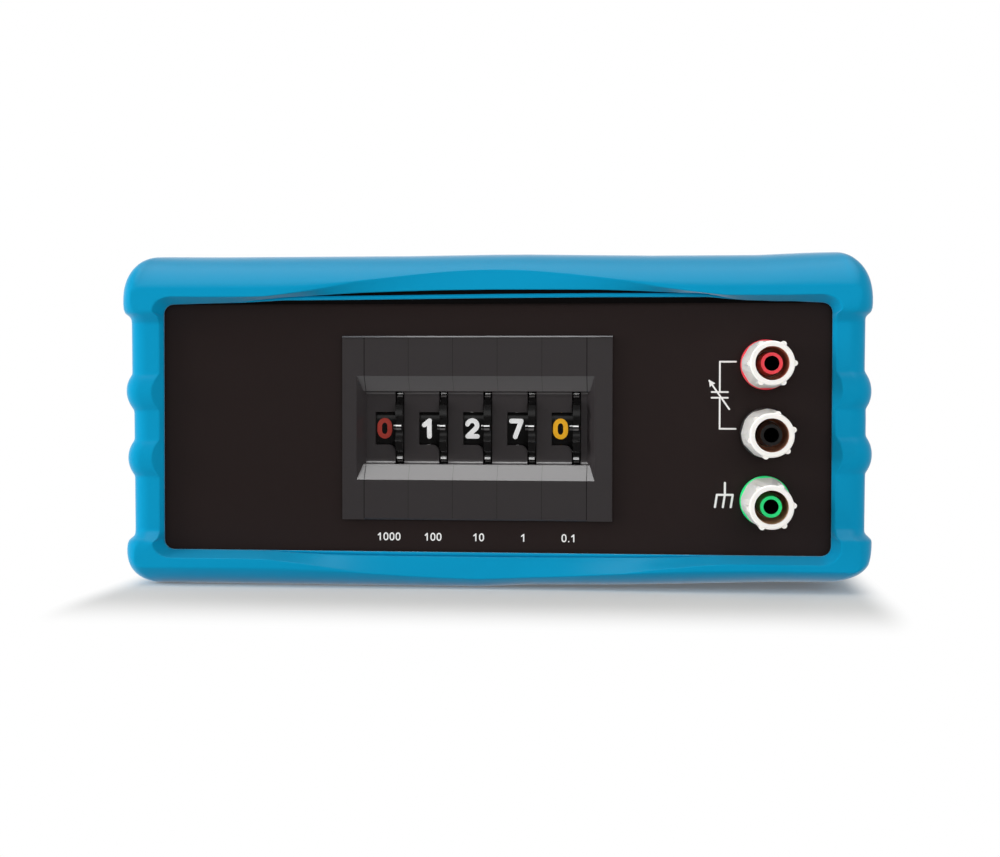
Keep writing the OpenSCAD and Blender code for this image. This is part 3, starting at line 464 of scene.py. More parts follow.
@dataclass
class RubberBoot:
    """The moulded sleeve: one closed surface on a grid of stations and rings.

    A station is a place on the front view. Its rings lead from the lip that hooks round the
    case, up the bevel, over the front band, back along the roll-off and the outside, and
    round the rear to the cavity. Each ring is a curve worked out for all stations at once.
    """

    # The opening, the sides at their waist, and the bars above and below it.
    half_w: float = 95.0
    half_h: float = 35.3
    waist: float = 104.7
    lean: float = 0.25
    bumper_out: float = 1.75
    above: float = 15.0
    below: float = 10.3
    column_front: float = 3.2
    bar_front: float = 6.4
    bar_edge: float = 33.1
    low_right_up: float = 2.5
    # Grip ribs on the sides, and the swoops of the bars.
    rib_h: float = 1.75
    rib_w: float = 10.4
    left_ribs: Pair = (10.0, -9.0)
    right_ribs: Pair = (11.0, -7.0)
    wave_top: float = 5.0
    wave_bottom: float = 2.4
    wave_len: float = 65.0
    # The case that the boot holds.
    case_half: Pair = (100.0, 42.0)
    case_d: float = 138.0
    case_lip: float = 1.2
    # The flat band on the front, and the lip, ledge and gap inside it.
    band_full: float = 2.8
    band_thin: float = 0.25
    band_x: float = 38.0
    lip: Curve = (
        (-92.0, -72.0, -60.0, -38.0, 0.0, 30.0, 61.0, 66.0, 71.0, 80.0),
        (0.05, 0.5, 1.1, 1.2, 1.55, 1.7, 1.65, 1.15, 0.75, 0.42))
    ledge_out: Curve = (
        (-76.0, -54.0, 58.0, 68.0),
        (0.0, 1.09, 1.09, 0.0))
    gap_up: Curve = (
        (-53.0, -38.0, -26.0, -14.0, 0.0, 20.0, 31.0, 42.0, 54.0),
        (0.0, 0.84, 1.12, 1.3, 1.27, 1.12, 0.99, 0.62, 0.0))
    gap_deep: float = 1.5
    low_ledge: float = 1.0
    low_gap: float = 0.16
    low_gap_x: Pair = (-20.0, 38.0)
    low_gap_fade: Pair = (2.0, 1.6)
    ledge_least: float = 0.05
    slope_least: float = 0.02
    lip_ahead: float = 0.4
    gap_ahead: Pair = (0.15, 0.2)
    gap_full: float = 0.3
    bevel_ahead: float = 0.9
    # Ends and offset of the painted shadow on the case's rim, then the offset of the painted shade
    # in the gap and the least gap height that it fills.
    rim_xs: Pair = (-92.0, 88.0)
    rim_ahead: float = 0.03
    shade_ahead: float = 0.22
    gap_seen: float = 0.04
    opening_r: float = 3.0
    face_in: float = 2.1
    face_r: Pair = (6.0, 4.5)
    column_in: float = 0.9
    # The crest where the band ends, the roll-off behind it, and the corners.
    crest_in: float = 3.6
    crest_up: float = 4.7
    crest_down: float = 4.9
    crest_r: float = 2.5
    crest_flat: float = 5.1
    side_end: float = 29.8
    left_rx: Pair = (9.0, 9.5)
    right_rx: Pair = (11.0, 13.0)
    high_rz: float = 15.0
    low_rz: Pair = (10.5, 13.5)
    squareness: float = 0.85
    cavity_r: float = 5.5
    bar_turn: Pair = (65.0, 50.0)
    end_turn: float = 60.0
    column_turn: float = 88.0
    bar_back: Pair = (9.6, 4.8)
    end_back: float = -0.2
    column_back: float = 1.9
    rear_round: float = 7.0
    # Spacing of the rings at the front edges, at the outside and at the rear.
    ring_steps: Triple = (0.2, 1.5, 0.4)
    # How the soft moulding strays from straight.
    skew: Curve = (
        (-4.0, 10.0, 25.0, 38.0, 54.0, 68.0, 80.0, 110.0),
        (0.0, 0.8, 1.0, 1.2, 1.7, 2.2, 2.6, 2.8))
    skew_depth: float = 45.0
    top_sink: Curve = (
        (-110.0, -80.0, -25.0, 0.0, 10.0, 45.0, 75.0, 90.0, 110.0),
        (-0.3, -0.55, -0.55, -0.3, -0.3, -0.8, -0.8, -0.2, 0.0))
    top_fade: Pair = (2.5, 9.0)
    high_shift: float = -0.5
    shift_z: Pair = (2.0, 14.0)
    shift_x: Pair = (97.0, 5.0)
    widest: float = 106.66
    # Half length of a run, and the stations on a run, a corner and a side.
    run: float = 84.0
    counts: tuple[int, int, int] = (161, 25, 201)
    st: Stations = field(init=False)

    def __post_init__(self) -> None:
        """Lays the stations."""
        self.st = Stations.around(self.run, self.bar_edge, self.counts)

    def pick(self, up: float | Array, down: float | Array) -> Array:
        """Takes up for stations on the top and down for the others."""
        return np.where(self.st.top > 0, up, down)

    def level(self, up: float | Array, down: float | Array) -> Array:
        """Distance from the middle to up above the opening, or to down below it."""
        return self.half_h + self.pick(up, down)

    def ribs(self) -> Array:
        """Height of the grip ribs: each is the top of a circle, sqrt(R² - (z - mid)²) - R + h."""
        big = (self.rib_w**2 / 4 + self.rib_h**2) / (2 * self.rib_h)
        total = np.zeros_like(self.st.value)
        for mids in zip(self.left_ribs, self.right_ribs):
            off = self.st.value - np.where(self.st.side < 0, *mids)
            top = np.sqrt(np.maximum(big**2 - off**2, 0)) - big + self.rib_h
            total += np.where(abs(off) < self.rib_w / 2, top, 0)
        return total

    def swoop(self) -> Array:
        """Share of the swoop: the squared cosine of a quarter turn over its half length."""
        x = self.st.value
        return np.where(abs(x) < self.wave_len, np.cos(np.pi / 2 * x / self.wave_len) ** 2, 0)

    def gap(self) -> Array:
        """Height of the gap between the lip and the swoop's lower edge, on the station's bar."""
        (middle, half), (full, fade) = self.low_gap_x, self.low_gap_fade
        low = np.clip(full - abs(self.st.value - middle) / half * fade, 0, 1)
        return self.pick(np.interp(self.st.value, *self.gap_up), self.low_gap * low)

    def rise(self, full: float) -> Array:
        """How far a bar stands out at a side station: a 45 degree ramp up to full."""
        s = self.st
        edge = self.bar_edge - np.where((s.side > 0) & (s.value < 0), self.low_right_up, 0)
        return np.clip(full - (edge - abs(s.value)), 0, full)

    def side_w(self) -> Array:
        """Half width at the waist: it leans out with height."""
        s = self.st
        z = np.where(s.place == Place.SIDE, s.value, s.top * self.bar_edge)
        return self.waist + self.lean * z / self.half_h

    def corner(self, hw: float | Array, hh: float | Array, rx: float | Array,
               rz: float | Array) -> Array:
        """Points of a rectangle with elliptical corners, at the stations' corner angles.

        The height takes the power squareness of the sine, which squares the corner's top.
        """
        turn = np.radians(self.st.value)
        up = np.clip(np.sin(turn), 0, 1) ** self.squareness
        return np.stack([self.st.side * (hw - rx + rx * np.cos(turn)),
                         self.st.top * (hh - rz + rz * up)], -1)

    def squeezed(self, limit: float, margin: float = 0.1) -> Array:
        """Side heights, with the ends drawn in so that the last lies a margin inside limit."""
        z = self.st.value
        ratio = (limit - margin - self.side_end) / (self.bar_edge - self.side_end)
        return np.where(abs(z) <= self.side_end, z,
                        np.sign(z) * (self.side_end + (abs(z) - self.side_end) * ratio))

    def outline(self, run_z: float | Array, corner: Array, side_x: float | Array,
                side_z: Array) -> Array:
        """Joins a ring's front view from its runs, corners and sides."""
        s = self.st
        return s.choose(np.stack([s.value, s.top * run_z], -1), corner,
                        np.stack([s.side * side_x, side_z], -1))

    def rectangle(self, hw: float, hh: float, r: float, lift: float | Array = 0.0) -> Array:
        """A ring round a rectangle with round corners, whose runs lie lift farther out."""
        return self.outline(hh + lift, self.corner(hw, hh, r, r), hw, self.squeezed(hh - r))

    def opening(self, grown: float = 0.0) -> Array:
        """The opening's edge: a rounded rectangle whose top rises a little under the swoop."""
        lift = np.interp(self.st.value, *self.lip) * self.pick(1, 0)
        return self.rectangle(self.half_w + grown, self.half_h + grown, self.opening_r + grown,
                              lift)

    def moved_out(self, ring: Array, by: Array) -> Array:
        """Moves the runs of a ring outwards."""
        ring[:, 1] += np.where(self.st.runs, self.st.top * by, 0)
        return ring

    def ledge(self) -> Array:
        """Outer edge of the narrow ledge: the opening's edge, wider under the swoops.

        On the lower bar it narrows with the fourth power of x over the swoop's half length.
        """
        x = self.st.value
        low = self.low_ledge * np.clip(1 - (abs(x) / self.wave_len) ** 4, 0, None)
        wide = self.pick(np.interp(x, *self.ledge_out), low)
        return self.moved_out(self.opening(self.ledge_least), wide)

    def slope(self) -> Array:
        """Lower edge of the bevel: beyond the ledge by the gap's height."""
        return self.moved_out(self.ledge(), self.gap() + self.slope_least)

    def crest_level(self) -> Array:
        """Distance from the middle to the crest on the runs, with the swoop."""
        wave = self.swoop()
        return self.level(self.crest_up + self.wave_top * wave,
                          self.crest_down + self.wave_bottom * wave)

    def crest(self, swooping: bool = True) -> Array:
        """Edge between the front band and the roll-off."""
        width, share = self.side_w(), self.rise(1)
        edge = width + self.bumper_out - self.crest_in
        inset = (width - self.crest_flat) * (1 - share) + edge * share
        plain = self.level(self.crest_up, self.crest_down)
        return self.outline(self.crest_level() if swooping else plain,
                            self.corner(edge, plain, self.crest_r, self.crest_r),
                            inset + self.ribs(), self.st.value)

    def face(self, swooping: bool = True) -> Array:
        """Inner edge of the front band. The band thins out where the swoop takes over."""
        x, share, hh = self.st.value, self.rise(1), self.half_h + self.face_in
        full = np.clip((abs(x) - self.band_x) / (self.wave_len - self.band_x), 0, 1)
        band = self.band_thin + (self.band_full - self.band_thin) * full
        side = self.half_w + (self.column_in + self.ribs()) * (1 - share) + self.face_in * share
        return self.outline(self.crest_level() - band if swooping else hh,
                            self.corner(self.half_w + self.face_in, hh, *self.face_r), side, x)

    def outer(self) -> Array:
        """The outside: waist, grip ribs and corner bumpers."""
        width, tall, left = self.side_w(), self.level(self.above, self.below), self.st.side < 0
        rx = np.where(left, self.pick(*self.left_rx), self.pick(*self.right_rx))
        rz = self.pick(self.high_rz, np.where(left, *self.low_rz))
        return self.outline(tall, self.corner(width + self.bumper_out, tall, rx, rz),
                            width + self.rise(self.bumper_out) + self.ribs(), self.st.value)

    def front(self) -> Array:
        """How far the front band stands ahead of the panel."""
        full = self.bar_front
        side = self.column_front + self.rise(full - self.column_front) + self.ribs()
        return self.st.choose(full, full, side)

    def roll(self, steps: int) -> list[Array]:
        """Rings of the roll-off, an arc from the crest back to the outside.

        At angle a the share of the way in from the outside is (1 - cos a) / (1 - cos a0), and
        the depth is back - (back + front) * sin a / sin a0, where a0 is the arc's full angle.
        A swoop's crest lies further round the same arc, so the swoop is scooped out of it.
        """
        s = self.st
        quarter, ramp = np.clip(s.value / 90, 0, 1), self.rise(1)
        bar, end, column = self.pick(*self.bar_turn), self.end_turn, self.column_turn
        angle = np.radians(s.choose(bar, end + (bar - end) * quarter,
                                    column - (column - end) * ramp))
        bar, end, column = self.pick(*self.bar_back), self.end_back, self.column_back
        back = s.choose(bar, end + (bar - end) * quarter**2, column - (column - end) * ramp)
        tall = self.level(self.above, self.below)
        left = (tall - self.crest_level()) / (tall - self.level(self.crest_up, self.crest_down))
        crest_angle = np.where(s.runs, np.arccos(1 - left * (1 - np.cos(angle))), angle)
        rings = []
        outside, crest, front = self.outer(), self.crest(), self.front()
        for a in (crest_angle * (1 - k / steps) for k in range(steps + 1)):
            share = (1 - np.cos(a)) / (1 - np.cos(crest_angle))
            depth = back - (back + front) * np.sin(a) / np.sin(angle)
            rings.append(self.at(outside + (crest - outside) * share[:, None], depth))
        return rings

    @staticmethod
    def at(view: Array, depth: float | Array) -> Array:
        """Sets a front view ring at a depth."""
        return np.stack([view[:, 0], np.broadcast_to(depth, len(view)), view[:, 1]], -1)

    def grid(self) -> Array:
        """All rings as one array, rounded along both axes."""
        lip, end, rear_z = -self.case_lip, self.case_d + self.case_lip, self.case_d + self.front()
        roll = self.roll(16)
        opening, ledge, slope = self.opening(), self.ledge(), self.slope()
        deep = np.where(self.st.runs, self.gap_deep * np.clip(self.gap() / self.gap_full, 0, 1), 0)
        hook = [self.at(ring, lip - ahead) for ring, ahead in (
            (opening, 0), (opening, self.lip_ahead), (ledge, self.lip_ahead),
            (ledge, self.gap_ahead[0]), (slope, self.gap_ahead[1]),
            (slope, self.bevel_ahead + deep))]
        face = self.at(self.face(), roll[0][:, 1])
        plain, outside = self.crest(False), self.outer()
        rear = [self.at(plain + (outside - plain) * np.cos(a),
                        rear_z - self.rear_round * (1 - np.sin(a)))
                for a in np.linspace(0, np.pi / 2, 9)]
        rear_face = self.at(self.face(False), rear_z)
        cavity = self.rectangle(*self.case_half, self.cavity_r)
        hold = [self.at(opening, end + self.bevel_ahead), self.at(opening, end),
                self.at(cavity, end), self.at(cavity, lip)]
        fine, long, rough = self.ring_steps
        parts = [hook, between(hook[-1], face, 10, fine)[1:], between(face, roll[0], 8, fine),
                 roll, between(roll[-1], rear[0], 10, long)[1:], rear[:-1],
                 between(rear[-1], rear_face, 8, rough), between(rear_face, hold[0], 6, rough),
                 hold]
        rings = np.concatenate([np.stack(part) for part in parts])
        first, last = len(hook) - 1, 1 - len(hold)
        skin = soften(soften(rings[first:last], 0, 2, closed=False), 1, 2)
        return self.skewed(np.concatenate([rings[:first], skin, rings[last:]]))

    def skewed(self, rings: Array) -> Array:
        """Lifts the lower right edge and leans the upper sides: the soft moulding isn't straight.

        The lift depends on x, counts in full on the underside, fades out at the opening's
        lower edge, and falls off with depth. The upper bar sinks by a share of its height
        above the opening. The sides move left above the middle, in a smooth step of height.
        """
        x, depth, z = rings[..., 0], rings[..., 1], rings[..., 2]
        start, length = self.top_fade
        z += np.clip((z - self.half_h - start) / length, 0, 1) * np.interp(x, *self.top_sink)
        step = np.clip((z - self.shift_z[0]) / self.shift_z[1], 0, 1)
        step *= step * (3 - 2 * step)
        x += self.high_shift * step * np.clip((abs(x) - self.shift_x[0]) / self.shift_x[1], 0, 1)
        np.clip(x, -self.widest, self.widest, out=x)
        down = np.clip((-self.half_h - self.face_in - z) / (self.below - self.face_in), 0, 1)
        back = np.clip(1 - depth / self.skew_depth, 0, 1)
        z += np.interp(x, *self.skew) * down * back
        return rings

    def rim_shade(self) -> Mesh:
        """Returns a painted shadow on the case's rim above the panel, where the lifted lip shades
        it.
        """
        x = np.linspace(*self.rim_xs, 91)
        up = np.interp(x, *self.lip) + self.ledge_least
        rows = [self.at(np.stack([x, self.half_h + z], -1), -self.case_lip - self.rim_ahead)
                for z in (0 * x, up)]
        return np.stack(rows), grid_faces(2, len(x))

    def gap_shade(self) -> Mesh:
        """Returns painted shade on the back of the gap behind the swoop's lower edge, where the
        black case shows in shadow.
        """
        inside = (self.st.top > 0) & self.st.runs & (self.gap() > self.gap_seen)
        rows = [self.at(ring[inside], -self.case_lip - self.shade_ahead)
                for ring in (self.ledge(), self.slope())]
        return np.stack(rows)[:, ::-1], grid_faces(2, inside.sum())

    def build(self, shop: Workshop) -> None:
        """Builds the boot, which stands for the CAD boot, and the painted shades in its gaps."""
        rings = self.grid()
        shop.piece("boot_skin", (rings, grid_faces(*rings.shape[:2], True, True)), BOOT_RUBBER,
                   smooth=True, replaces=["rubber_boot"])
        shop.piece("case_rim_shade", self.rim_shade(), JOINT_AND_SHADE_DARK)
        shop.piece("gap_shade", self.gap_shade(), JOINT_AND_SHADE_DARK)


# Figures and lines


@dataclass(frozen=True)
class Arc:
    """Part of an ellipse in a glyph's unit box: centre, half sizes and angles in degrees."""

    x: float
    y: float
    rx: float
    ry: float
    start: float
    end: float

    def points(self) -> Array:
        """Points along the arc: centre + (rx cos a, ry sin a)."""
        a = np.radians(np.linspace(self.start, self.end, 25))
        return np.stack([self.x + self.rx * np.cos(a), self.y + self.ry * np.sin(a)], -1)


@dataclass(frozen=True)
class Line:
    """A straight stroke in a glyph's unit box."""

    x0: float
    y0: float
    x1: float
    y1: float

    def points(self) -> Array:
        """Points along the line."""
        t = np.linspace(0, 1, 9)[:, None]
        return np.array([self.x0, self.y0]) * (1 - t) + np.array([self.x1, self.y1]) * t


GLYPHS: dict[str, tuple] = {
    "0": (Arc(0, 0.12, 0.5, 0.38, 0, 180), Line(-0.5, 0.12, -0.5, -0.12),
          Arc(0, -0.12, 0.5, 0.38, 180, 360), Line(0.5, -0.12, 0.5, 0.12)),
    "1": (Line(-0.42, 0.22, 0.1, 0.48), Line(0.1, 0.48, 0.1, -0.5)),
    "2": (Arc(0, 0.2, 0.47, 0.3, 165, -35), Line(0.385, 0.03, -0.45, -0.48),
          Line(-0.45, -0.48, 0.5, -0.48)),
    "3": (Arc(-0.02, 0.24, 0.43, 0.25, 155, -90), Arc(-0.02, -0.24, 0.47, 0.26, 90, -155)),
    "4": (Line(0.22, -0.5, 0.22, 0.5), Line(0.22, 0.5, -0.5, -0.2), Line(-0.5, -0.2, 0.5, -0.2)),
    "5": (Line(0.42, 0.48, -0.36, 0.48), Line(-0.36, 0.48, -0.42, 0.05),
          Arc(-0.02, -0.18, 0.47, 0.31, 125, -150)),
    "6": (Arc(0.1, 0.02, 0.57, 0.48, 75, 180), Arc(0, -0.2, 0.46, 0.29, 0, 360)),
    "7": (Line(-0.48, 0.48, 0.48, 0.48), Line(0.48, 0.48, -0.1, -0.5)),
    "8": (Arc(0, 0.26, 0.4, 0.23, 0, 360), Arc(0, -0.24, 0.47, 0.26, 0, 360)),
    "9": (Arc(-0.1, -0.02, 0.57, 0.48, -105, 0), Arc(0, 0.2, 0.46, 0.29, 0, 360)),
    ".": (Line(-0.02, -0.5, 0.02, -0.5),)}



@dataclass
class Stroker:
    """Draws round-ended strokes of one width on a surface.

    Each stroke lies a little above the one before, so that no two share a plane.
    """

    surface: Surface
    width: float
    caps: int = 6
    height: float = 0.03
    height_step: float = 0.004
    parts: list[Mesh] = field(default_factory=list)

    def lay(self, grid: Array) -> None:
        """Lays a grid of flat points on the surface."""
        height = self.height + self.height_step * len(self.parts)
        points = self.surface(grid[..., 0], grid[..., 1], height)
        self.parts.append((points.reshape(-1, 3), grid_faces(*grid.shape[:2])))

    def stroke(self, path: Array) -> None:
        """Adds one stroke as a ribbon of two edges.

        The edges lie half a width to each side of the path. At each end, rows go on for
        h sin a ahead and shrink to h cos a to each side, which makes a round cap.

        Args:
            path: flat points along the middle of the stroke.
        """
        way = np.gradient(path, axis=0)
        way /= np.maximum(np.linalg.norm(way, axis=1, keepdims=True), 1e-9)
        a = np.linspace(math.pi / 2, 0, self.caps + 1)[:-1, None]
        half = self.width / 2
        head = path[0] - way[0] * half * np.sin(a)
        tail = path[-1] + way[-1] * half * np.sin(a[::-1])
        middle = np.concatenate([head, path, tail])
        ways = np.concatenate([np.repeat(way[:1], len(a), 0), way, np.repeat(way[-1:], len(a), 0)])
        wide = np.concatenate([np.cos(a), np.ones((len(path), 1)), np.cos(a[::-1])]) * half
        across = np.stack([-ways[:, 1], ways[:, 0]], -1) * wide
        self.lay(np.stack([middle - across, middle + across], 1))

    def lines(self, *lines: tuple[float, float, float, float]) -> None:
        """Adds straight strokes, each given by its two ends."""
        for x0, z0, x1, z1 in lines:
            self.stroke(np.linspace((x0, z0), (x1, z1), 5))

    def figure(self, char: str, x: float, y: float, width: float, height: float) -> None:
        """Adds a figure of a width and height, strokes included, with its middle at x, y."""
        for part in GLYPHS[char]:
            self.stroke(part.points() * [width - self.width, height - self.width] + [x, y])


def on_panel(right: Array, up: Array, height: float) -> Array:
    """Lays flat coordinates on the front panel, height millimetres proud of it."""
    return np.stack([right, np.full_like(right, -height), up], -1)


@dataclass
class PanelPrint:
    """White printing on the front panel: capacitor and chassis symbols, and plain figures."""

    line: float = 0.48
    lead_x: float = 64.15
    lead_end: float = 68.6
    lead_zs: Pair = (18.9, 0.1)
    plate_zs: Pair = (10.4, 8.8)
    plate_half: float = 2.25
    arrow: tuple[float, float, float, float] = (66.8, 5.6, 61.2, 13.6)
    arrow_head: tuple[Pair, ...] = ((-0.1, 0.25), (0.15, -1.85), (1.7, -0.75), (0.85, -1.25))
    earth_line: float = 0.6
    earth_x: float = 65.7
    earth_zs: Triple = (-15.1, -18.45, -21.9)
    earth_half: float = 2.2
    earth_slant: float = 0.55
    label_line: float = 0.36
    label_xs: Floats = (-29.6, -16.9, -3.8, 9.0, 21.9)
    label_z: float = -31.1
    label_size: Pair = (1.45, 2.3)
    label_step: float = 1.75
    point_step: float = 0.9
    labels: tuple[str, ...] = ("1000", "100", "10", "1", "0.1")

    def symbols(self) -> Mesh:
        """Returns a variable capacitor with its leads, and a chassis sign below it."""
        pen = Stroker(on_panel, self.line)
        x, (top, low), (upper, lower) = self.lead_x, self.lead_zs, self.plate_zs
        pen.lines((self.lead_end, top, x, top), (x, top, x, upper), (x, lower, x, low),
                  (x, low, self.lead_end, low),
                  *((x - self.plate_half, z, x + self.plate_half, z) for z in (upper, lower)),
                  self.arrow)
        pen.lay(np.reshape(self.arrow_head, (2, 2, 2)) + self.arrow[2:])
        pen.width = self.earth_line
        x, half, (stem, bar, foot) = self.earth_x, self.earth_half, self.earth_zs
        pen.lines((x, stem, x, bar), (x - half, bar, x + half, bar),
                  *((x + k * half, bar, x + k * half - self.earth_slant, foot)
                    for k in (-1, 0, 1)))
        return joined(pen.parts)

    def figures(self) -> Mesh:
        """Returns the figure under each wheel."""
        pen = Stroker(on_panel, self.label_line)
        for middle, text in zip(self.label_xs, self.labels):
            steps = [self.point_step if char == "." else self.label_step for char in text]
            x = middle - sum(steps) / 2
            for char, step in zip(text, steps):
                pen.figure(char, x + step / 2, self.label_z, *self.label_size)
                x += step
        return joined(pen.parts)

    def build(self, shop: Workshop) -> None:
        """Builds the print as one piece for the symbols and one for the figures."""
        shop.piece("symbol_print", self.symbols(), INK_WHITE)
        shop.piece("decade_figures", self.figures(), INK_WHITE)


# Thumbwheel bank


@dataclass
class SwitchBank:
    """What the five switches carry besides their CAD parts: figures, marks and seams."""

    modules: int = 5
    pitch: float = 12.7
    middle: float = -4.8
    places: int = 10
    drum_r: float = 12.3
    wheel_r: float = 17.0
    recess_y: float = 3.2
    recess_h: float = 21.0
    notch_deep: float = 1.6
    # The bezel, its rounded upper edge, and its seams at the ends and between two modules.
    bezel_out: float = 1.5
    bezel_h: float = 52.4
    edge_cut: float = 0.4
    edge_lean: float = 40.0
    edge_line: float = 0.48
    edge_ahead: float = 0.33
    cheek_w: Pair = (6.3, 7.2)
    mouth_h: float = 29.6
    slope_end: Pair = (1.6, 10.5)
    seam_ws: Pair = (0.16, 0.05)
    lift: float = 0.02
    # The marks at the middle of each figure, from the drum's end to the index bar's, and their
    # heights: white print above, with a painted highlight on each bar's upper side, and grey below,
    # a painted reflection of the floor on each bar's lower edge.
    rim_x: float = 8.72
    mark_xs: Pair = (7.6, 10.35)
    mark_proud: float = 0.45
    drum_white: Pair = (0.4, 0.82)
    bar_white: Pair = (0.42, 0.86)
    bar_top: float = 0.9
    bar_deep: float = 0.42
    grey: Pair = (-0.62, -0.06)
    grey_in: float = 0.05
    figure_at: Pair = (5.0, -0.25)
    figure_size: Pair = (4.3, 6.0)
    one_w: float = 0.97
    stroke: float = 1.36
    setting: tuple[int, ...] = (0, 1, 2, 7, 0)
    inks: tuple[Finish, ...] = (FIGURE_RED, FIGURE_WHITE, FIGURE_WHITE, FIGURE_WHITE, FIGURE_AMBER)

    @property
    def axis_y(self) -> float:
        """Depth of the wheels' axis, from the chord that the recess cuts off the wheel."""
        return self.recess_y + math.sqrt(self.wheel_r**2 - self.recess_h**2 / 4)

    @property
    def bar_r(self) -> float:
        """Radius of the index bars' outer face."""
        return self.wheel_r - self.notch_deep + self.mark_proud

    def left(self, module: int) -> float:
        """Left edge of a module."""
        return self.middle + (module - self.modules / 2) * self.pitch

    def drum(self, module: int, place: int, radius: float) -> Surface:
        """Returns the surface of a drum at one figure's place.

        A flat point (right, up) goes to angle turn + up / radius round the axis, at the radius
        plus its height.

        Args:
            module: which switch.
            place: steps from figure to figure, upwards from the window.
            radius: the surface's radius.

        Returns:
            The surface.
        """
        turn, x0 = 2 * math.pi / self.places * place, self.left(module)

        def surface(right: Array, up: Array, height: float) -> Array:
            angle, r = turn + up / radius, radius + height
            return np.stack([x0 + right, self.axis_y - r * np.cos(angle), r * np.sin(angle)], -1)

        return surface

    def figures(self, module: int) -> Mesh:
        """Returns the figures of one wheel, with its setting in the window."""
        parts: list[Mesh] = []
        for place in range(self.places):
            pen = Stroker(self.drum(module, place, self.drum_r), self.stroke)
            char = str((self.setting[module] + place) % self.places)
            width = self.figure_size[0] * (self.one_w if char == "1" else 1.0)
            pen.figure(char, *self.figure_at, width, self.figure_size[1])
            parts += [joined(pen.parts)]
        return joined(parts)

    def bar(self, surface: Surface, left: float, right: float, heights: Pair) -> Mesh:
        """Returns a flat rectangle laid on a surface."""
        x, z = np.meshgrid(np.linspace(left, right, 3), np.linspace(*heights, 3))
        return surface(x, z, self.lift).reshape(-1, 3), grid_faces(3, 3)

    def bar_side(self, module: int, place: int) -> Mesh:
        """Returns the white on an index bar's upper side, a painted highlight: a rectangle from
        root to edge.
        """
        turn = 2 * math.pi / self.places * place
        x, r = np.meshgrid([self.rim_x + self.lift, self.mark_xs[1]],
                           [self.bar_r - self.bar_deep, self.bar_r])
        y = self.axis_y - r * math.cos(turn) + self.bar_top * math.sin(turn)
        z = r * math.sin(turn) + self.bar_top * math.cos(turn)
        return np.stack([x + self.left(module), y, z], -1).reshape(-1, 3), grid_faces(2, 2)

    def marks(self, module: int) -> tuple[Mesh, Mesh]:
        """Returns the white index lines of one wheel, with a painted highlight on each bar's upper
        side, and the grey strips below them, a painted reflection of the floor.
        """
        (left, right), rim = self.mark_xs, self.rim_x
        whites, greys = [], []
        for place in range(self.places):
            drum, bar = (self.drum(module, place, r) for r in (self.drum_r, self.bar_r))
            whites += [self.bar(drum, left, rim, self.drum_white),
                       self.bar(bar, rim + self.lift, right, self.bar_white),
                       self.bar_side(module, place)]
            greys += [self.bar(drum, left, rim, self.grey),
                      self.bar(bar, rim + self.grey_in, right, self.grey)]
        return joined(whites), joined(greys)

    def seams(self) -> Mesh:
        """Returns the joints between neighbouring mouldings, down the bezel's front."""
        top, mouth, front = self.bezel_h / 2 - self.edge_cut, self.mouth_h / 2, -self.bezel_out
        end_y, end_z = self.slope_end
        paths = [[(y - self.lift, sign * z) for y, z in path] for sign in (1, -1) for path in (
            [(front, top), (front, mouth)],
            [(front, mouth - self.lift), (end_y, end_z - self.lift)])]
        parts = []
        for k in range(self.modules + 1):
            half = self.seam_ws[0 if k in (0, self.modules) else 1] / 2
            for path in paths:
                rows = np.array([[(self.left(k) + side * half, y, z) for side in (-1, 1)]
                                 for y, z in path])
                parts.append((rows.reshape(-1, 3), grid_faces(len(rows), 2)))
        return joined(parts)

    def rounded_edge(self) -> Mesh:
        """Returns the bezel's rounded upper front edge, as a strip that leans back.

        It starts edge_ahead in front of the face, so that it also shows over the cheeks.
        """
        lean = math.radians(self.edge_lean)
        x, t = np.meshgrid(np.linspace(self.left(0) - self.cheek_w[0],
                                       self.left(self.modules) + self.cheek_w[1], 3),
                           np.linspace(0, self.edge_line, 3))
        y = -self.bezel_out - self.edge_ahead + t * math.sin(lean)
        z = self.bezel_h / 2 - self.edge_cut - self.lift + t * math.cos(lean)
        return np.stack([x, y, z], -1), grid_faces(3, 3)

    def build(self, shop: Workshop) -> None:
        """Builds each wheel's figures, index lines and grey strips, the seams and the edge."""
        for k in range(self.modules):
            whites, greys = self.marks(k)
            for name, mesh, finish in (("figures", self.figures(k), self.inks[k]),
                                       ("index_lines", whites, FIGURE_WHITE),
                                       ("index_greys", greys, MARK_REFLECTION_GREY)):
                shop.piece(f"{name}_{k + 1}", mesh, finish, f"wheel_{k + 1}")
        shop.piece("bank_seams", self.seams(), JOINT_AND_SHADE_DARK)
        shop.piece("bezel_top_edge", self.rounded_edge(), SWITCH_NYLON)


# Binding posts


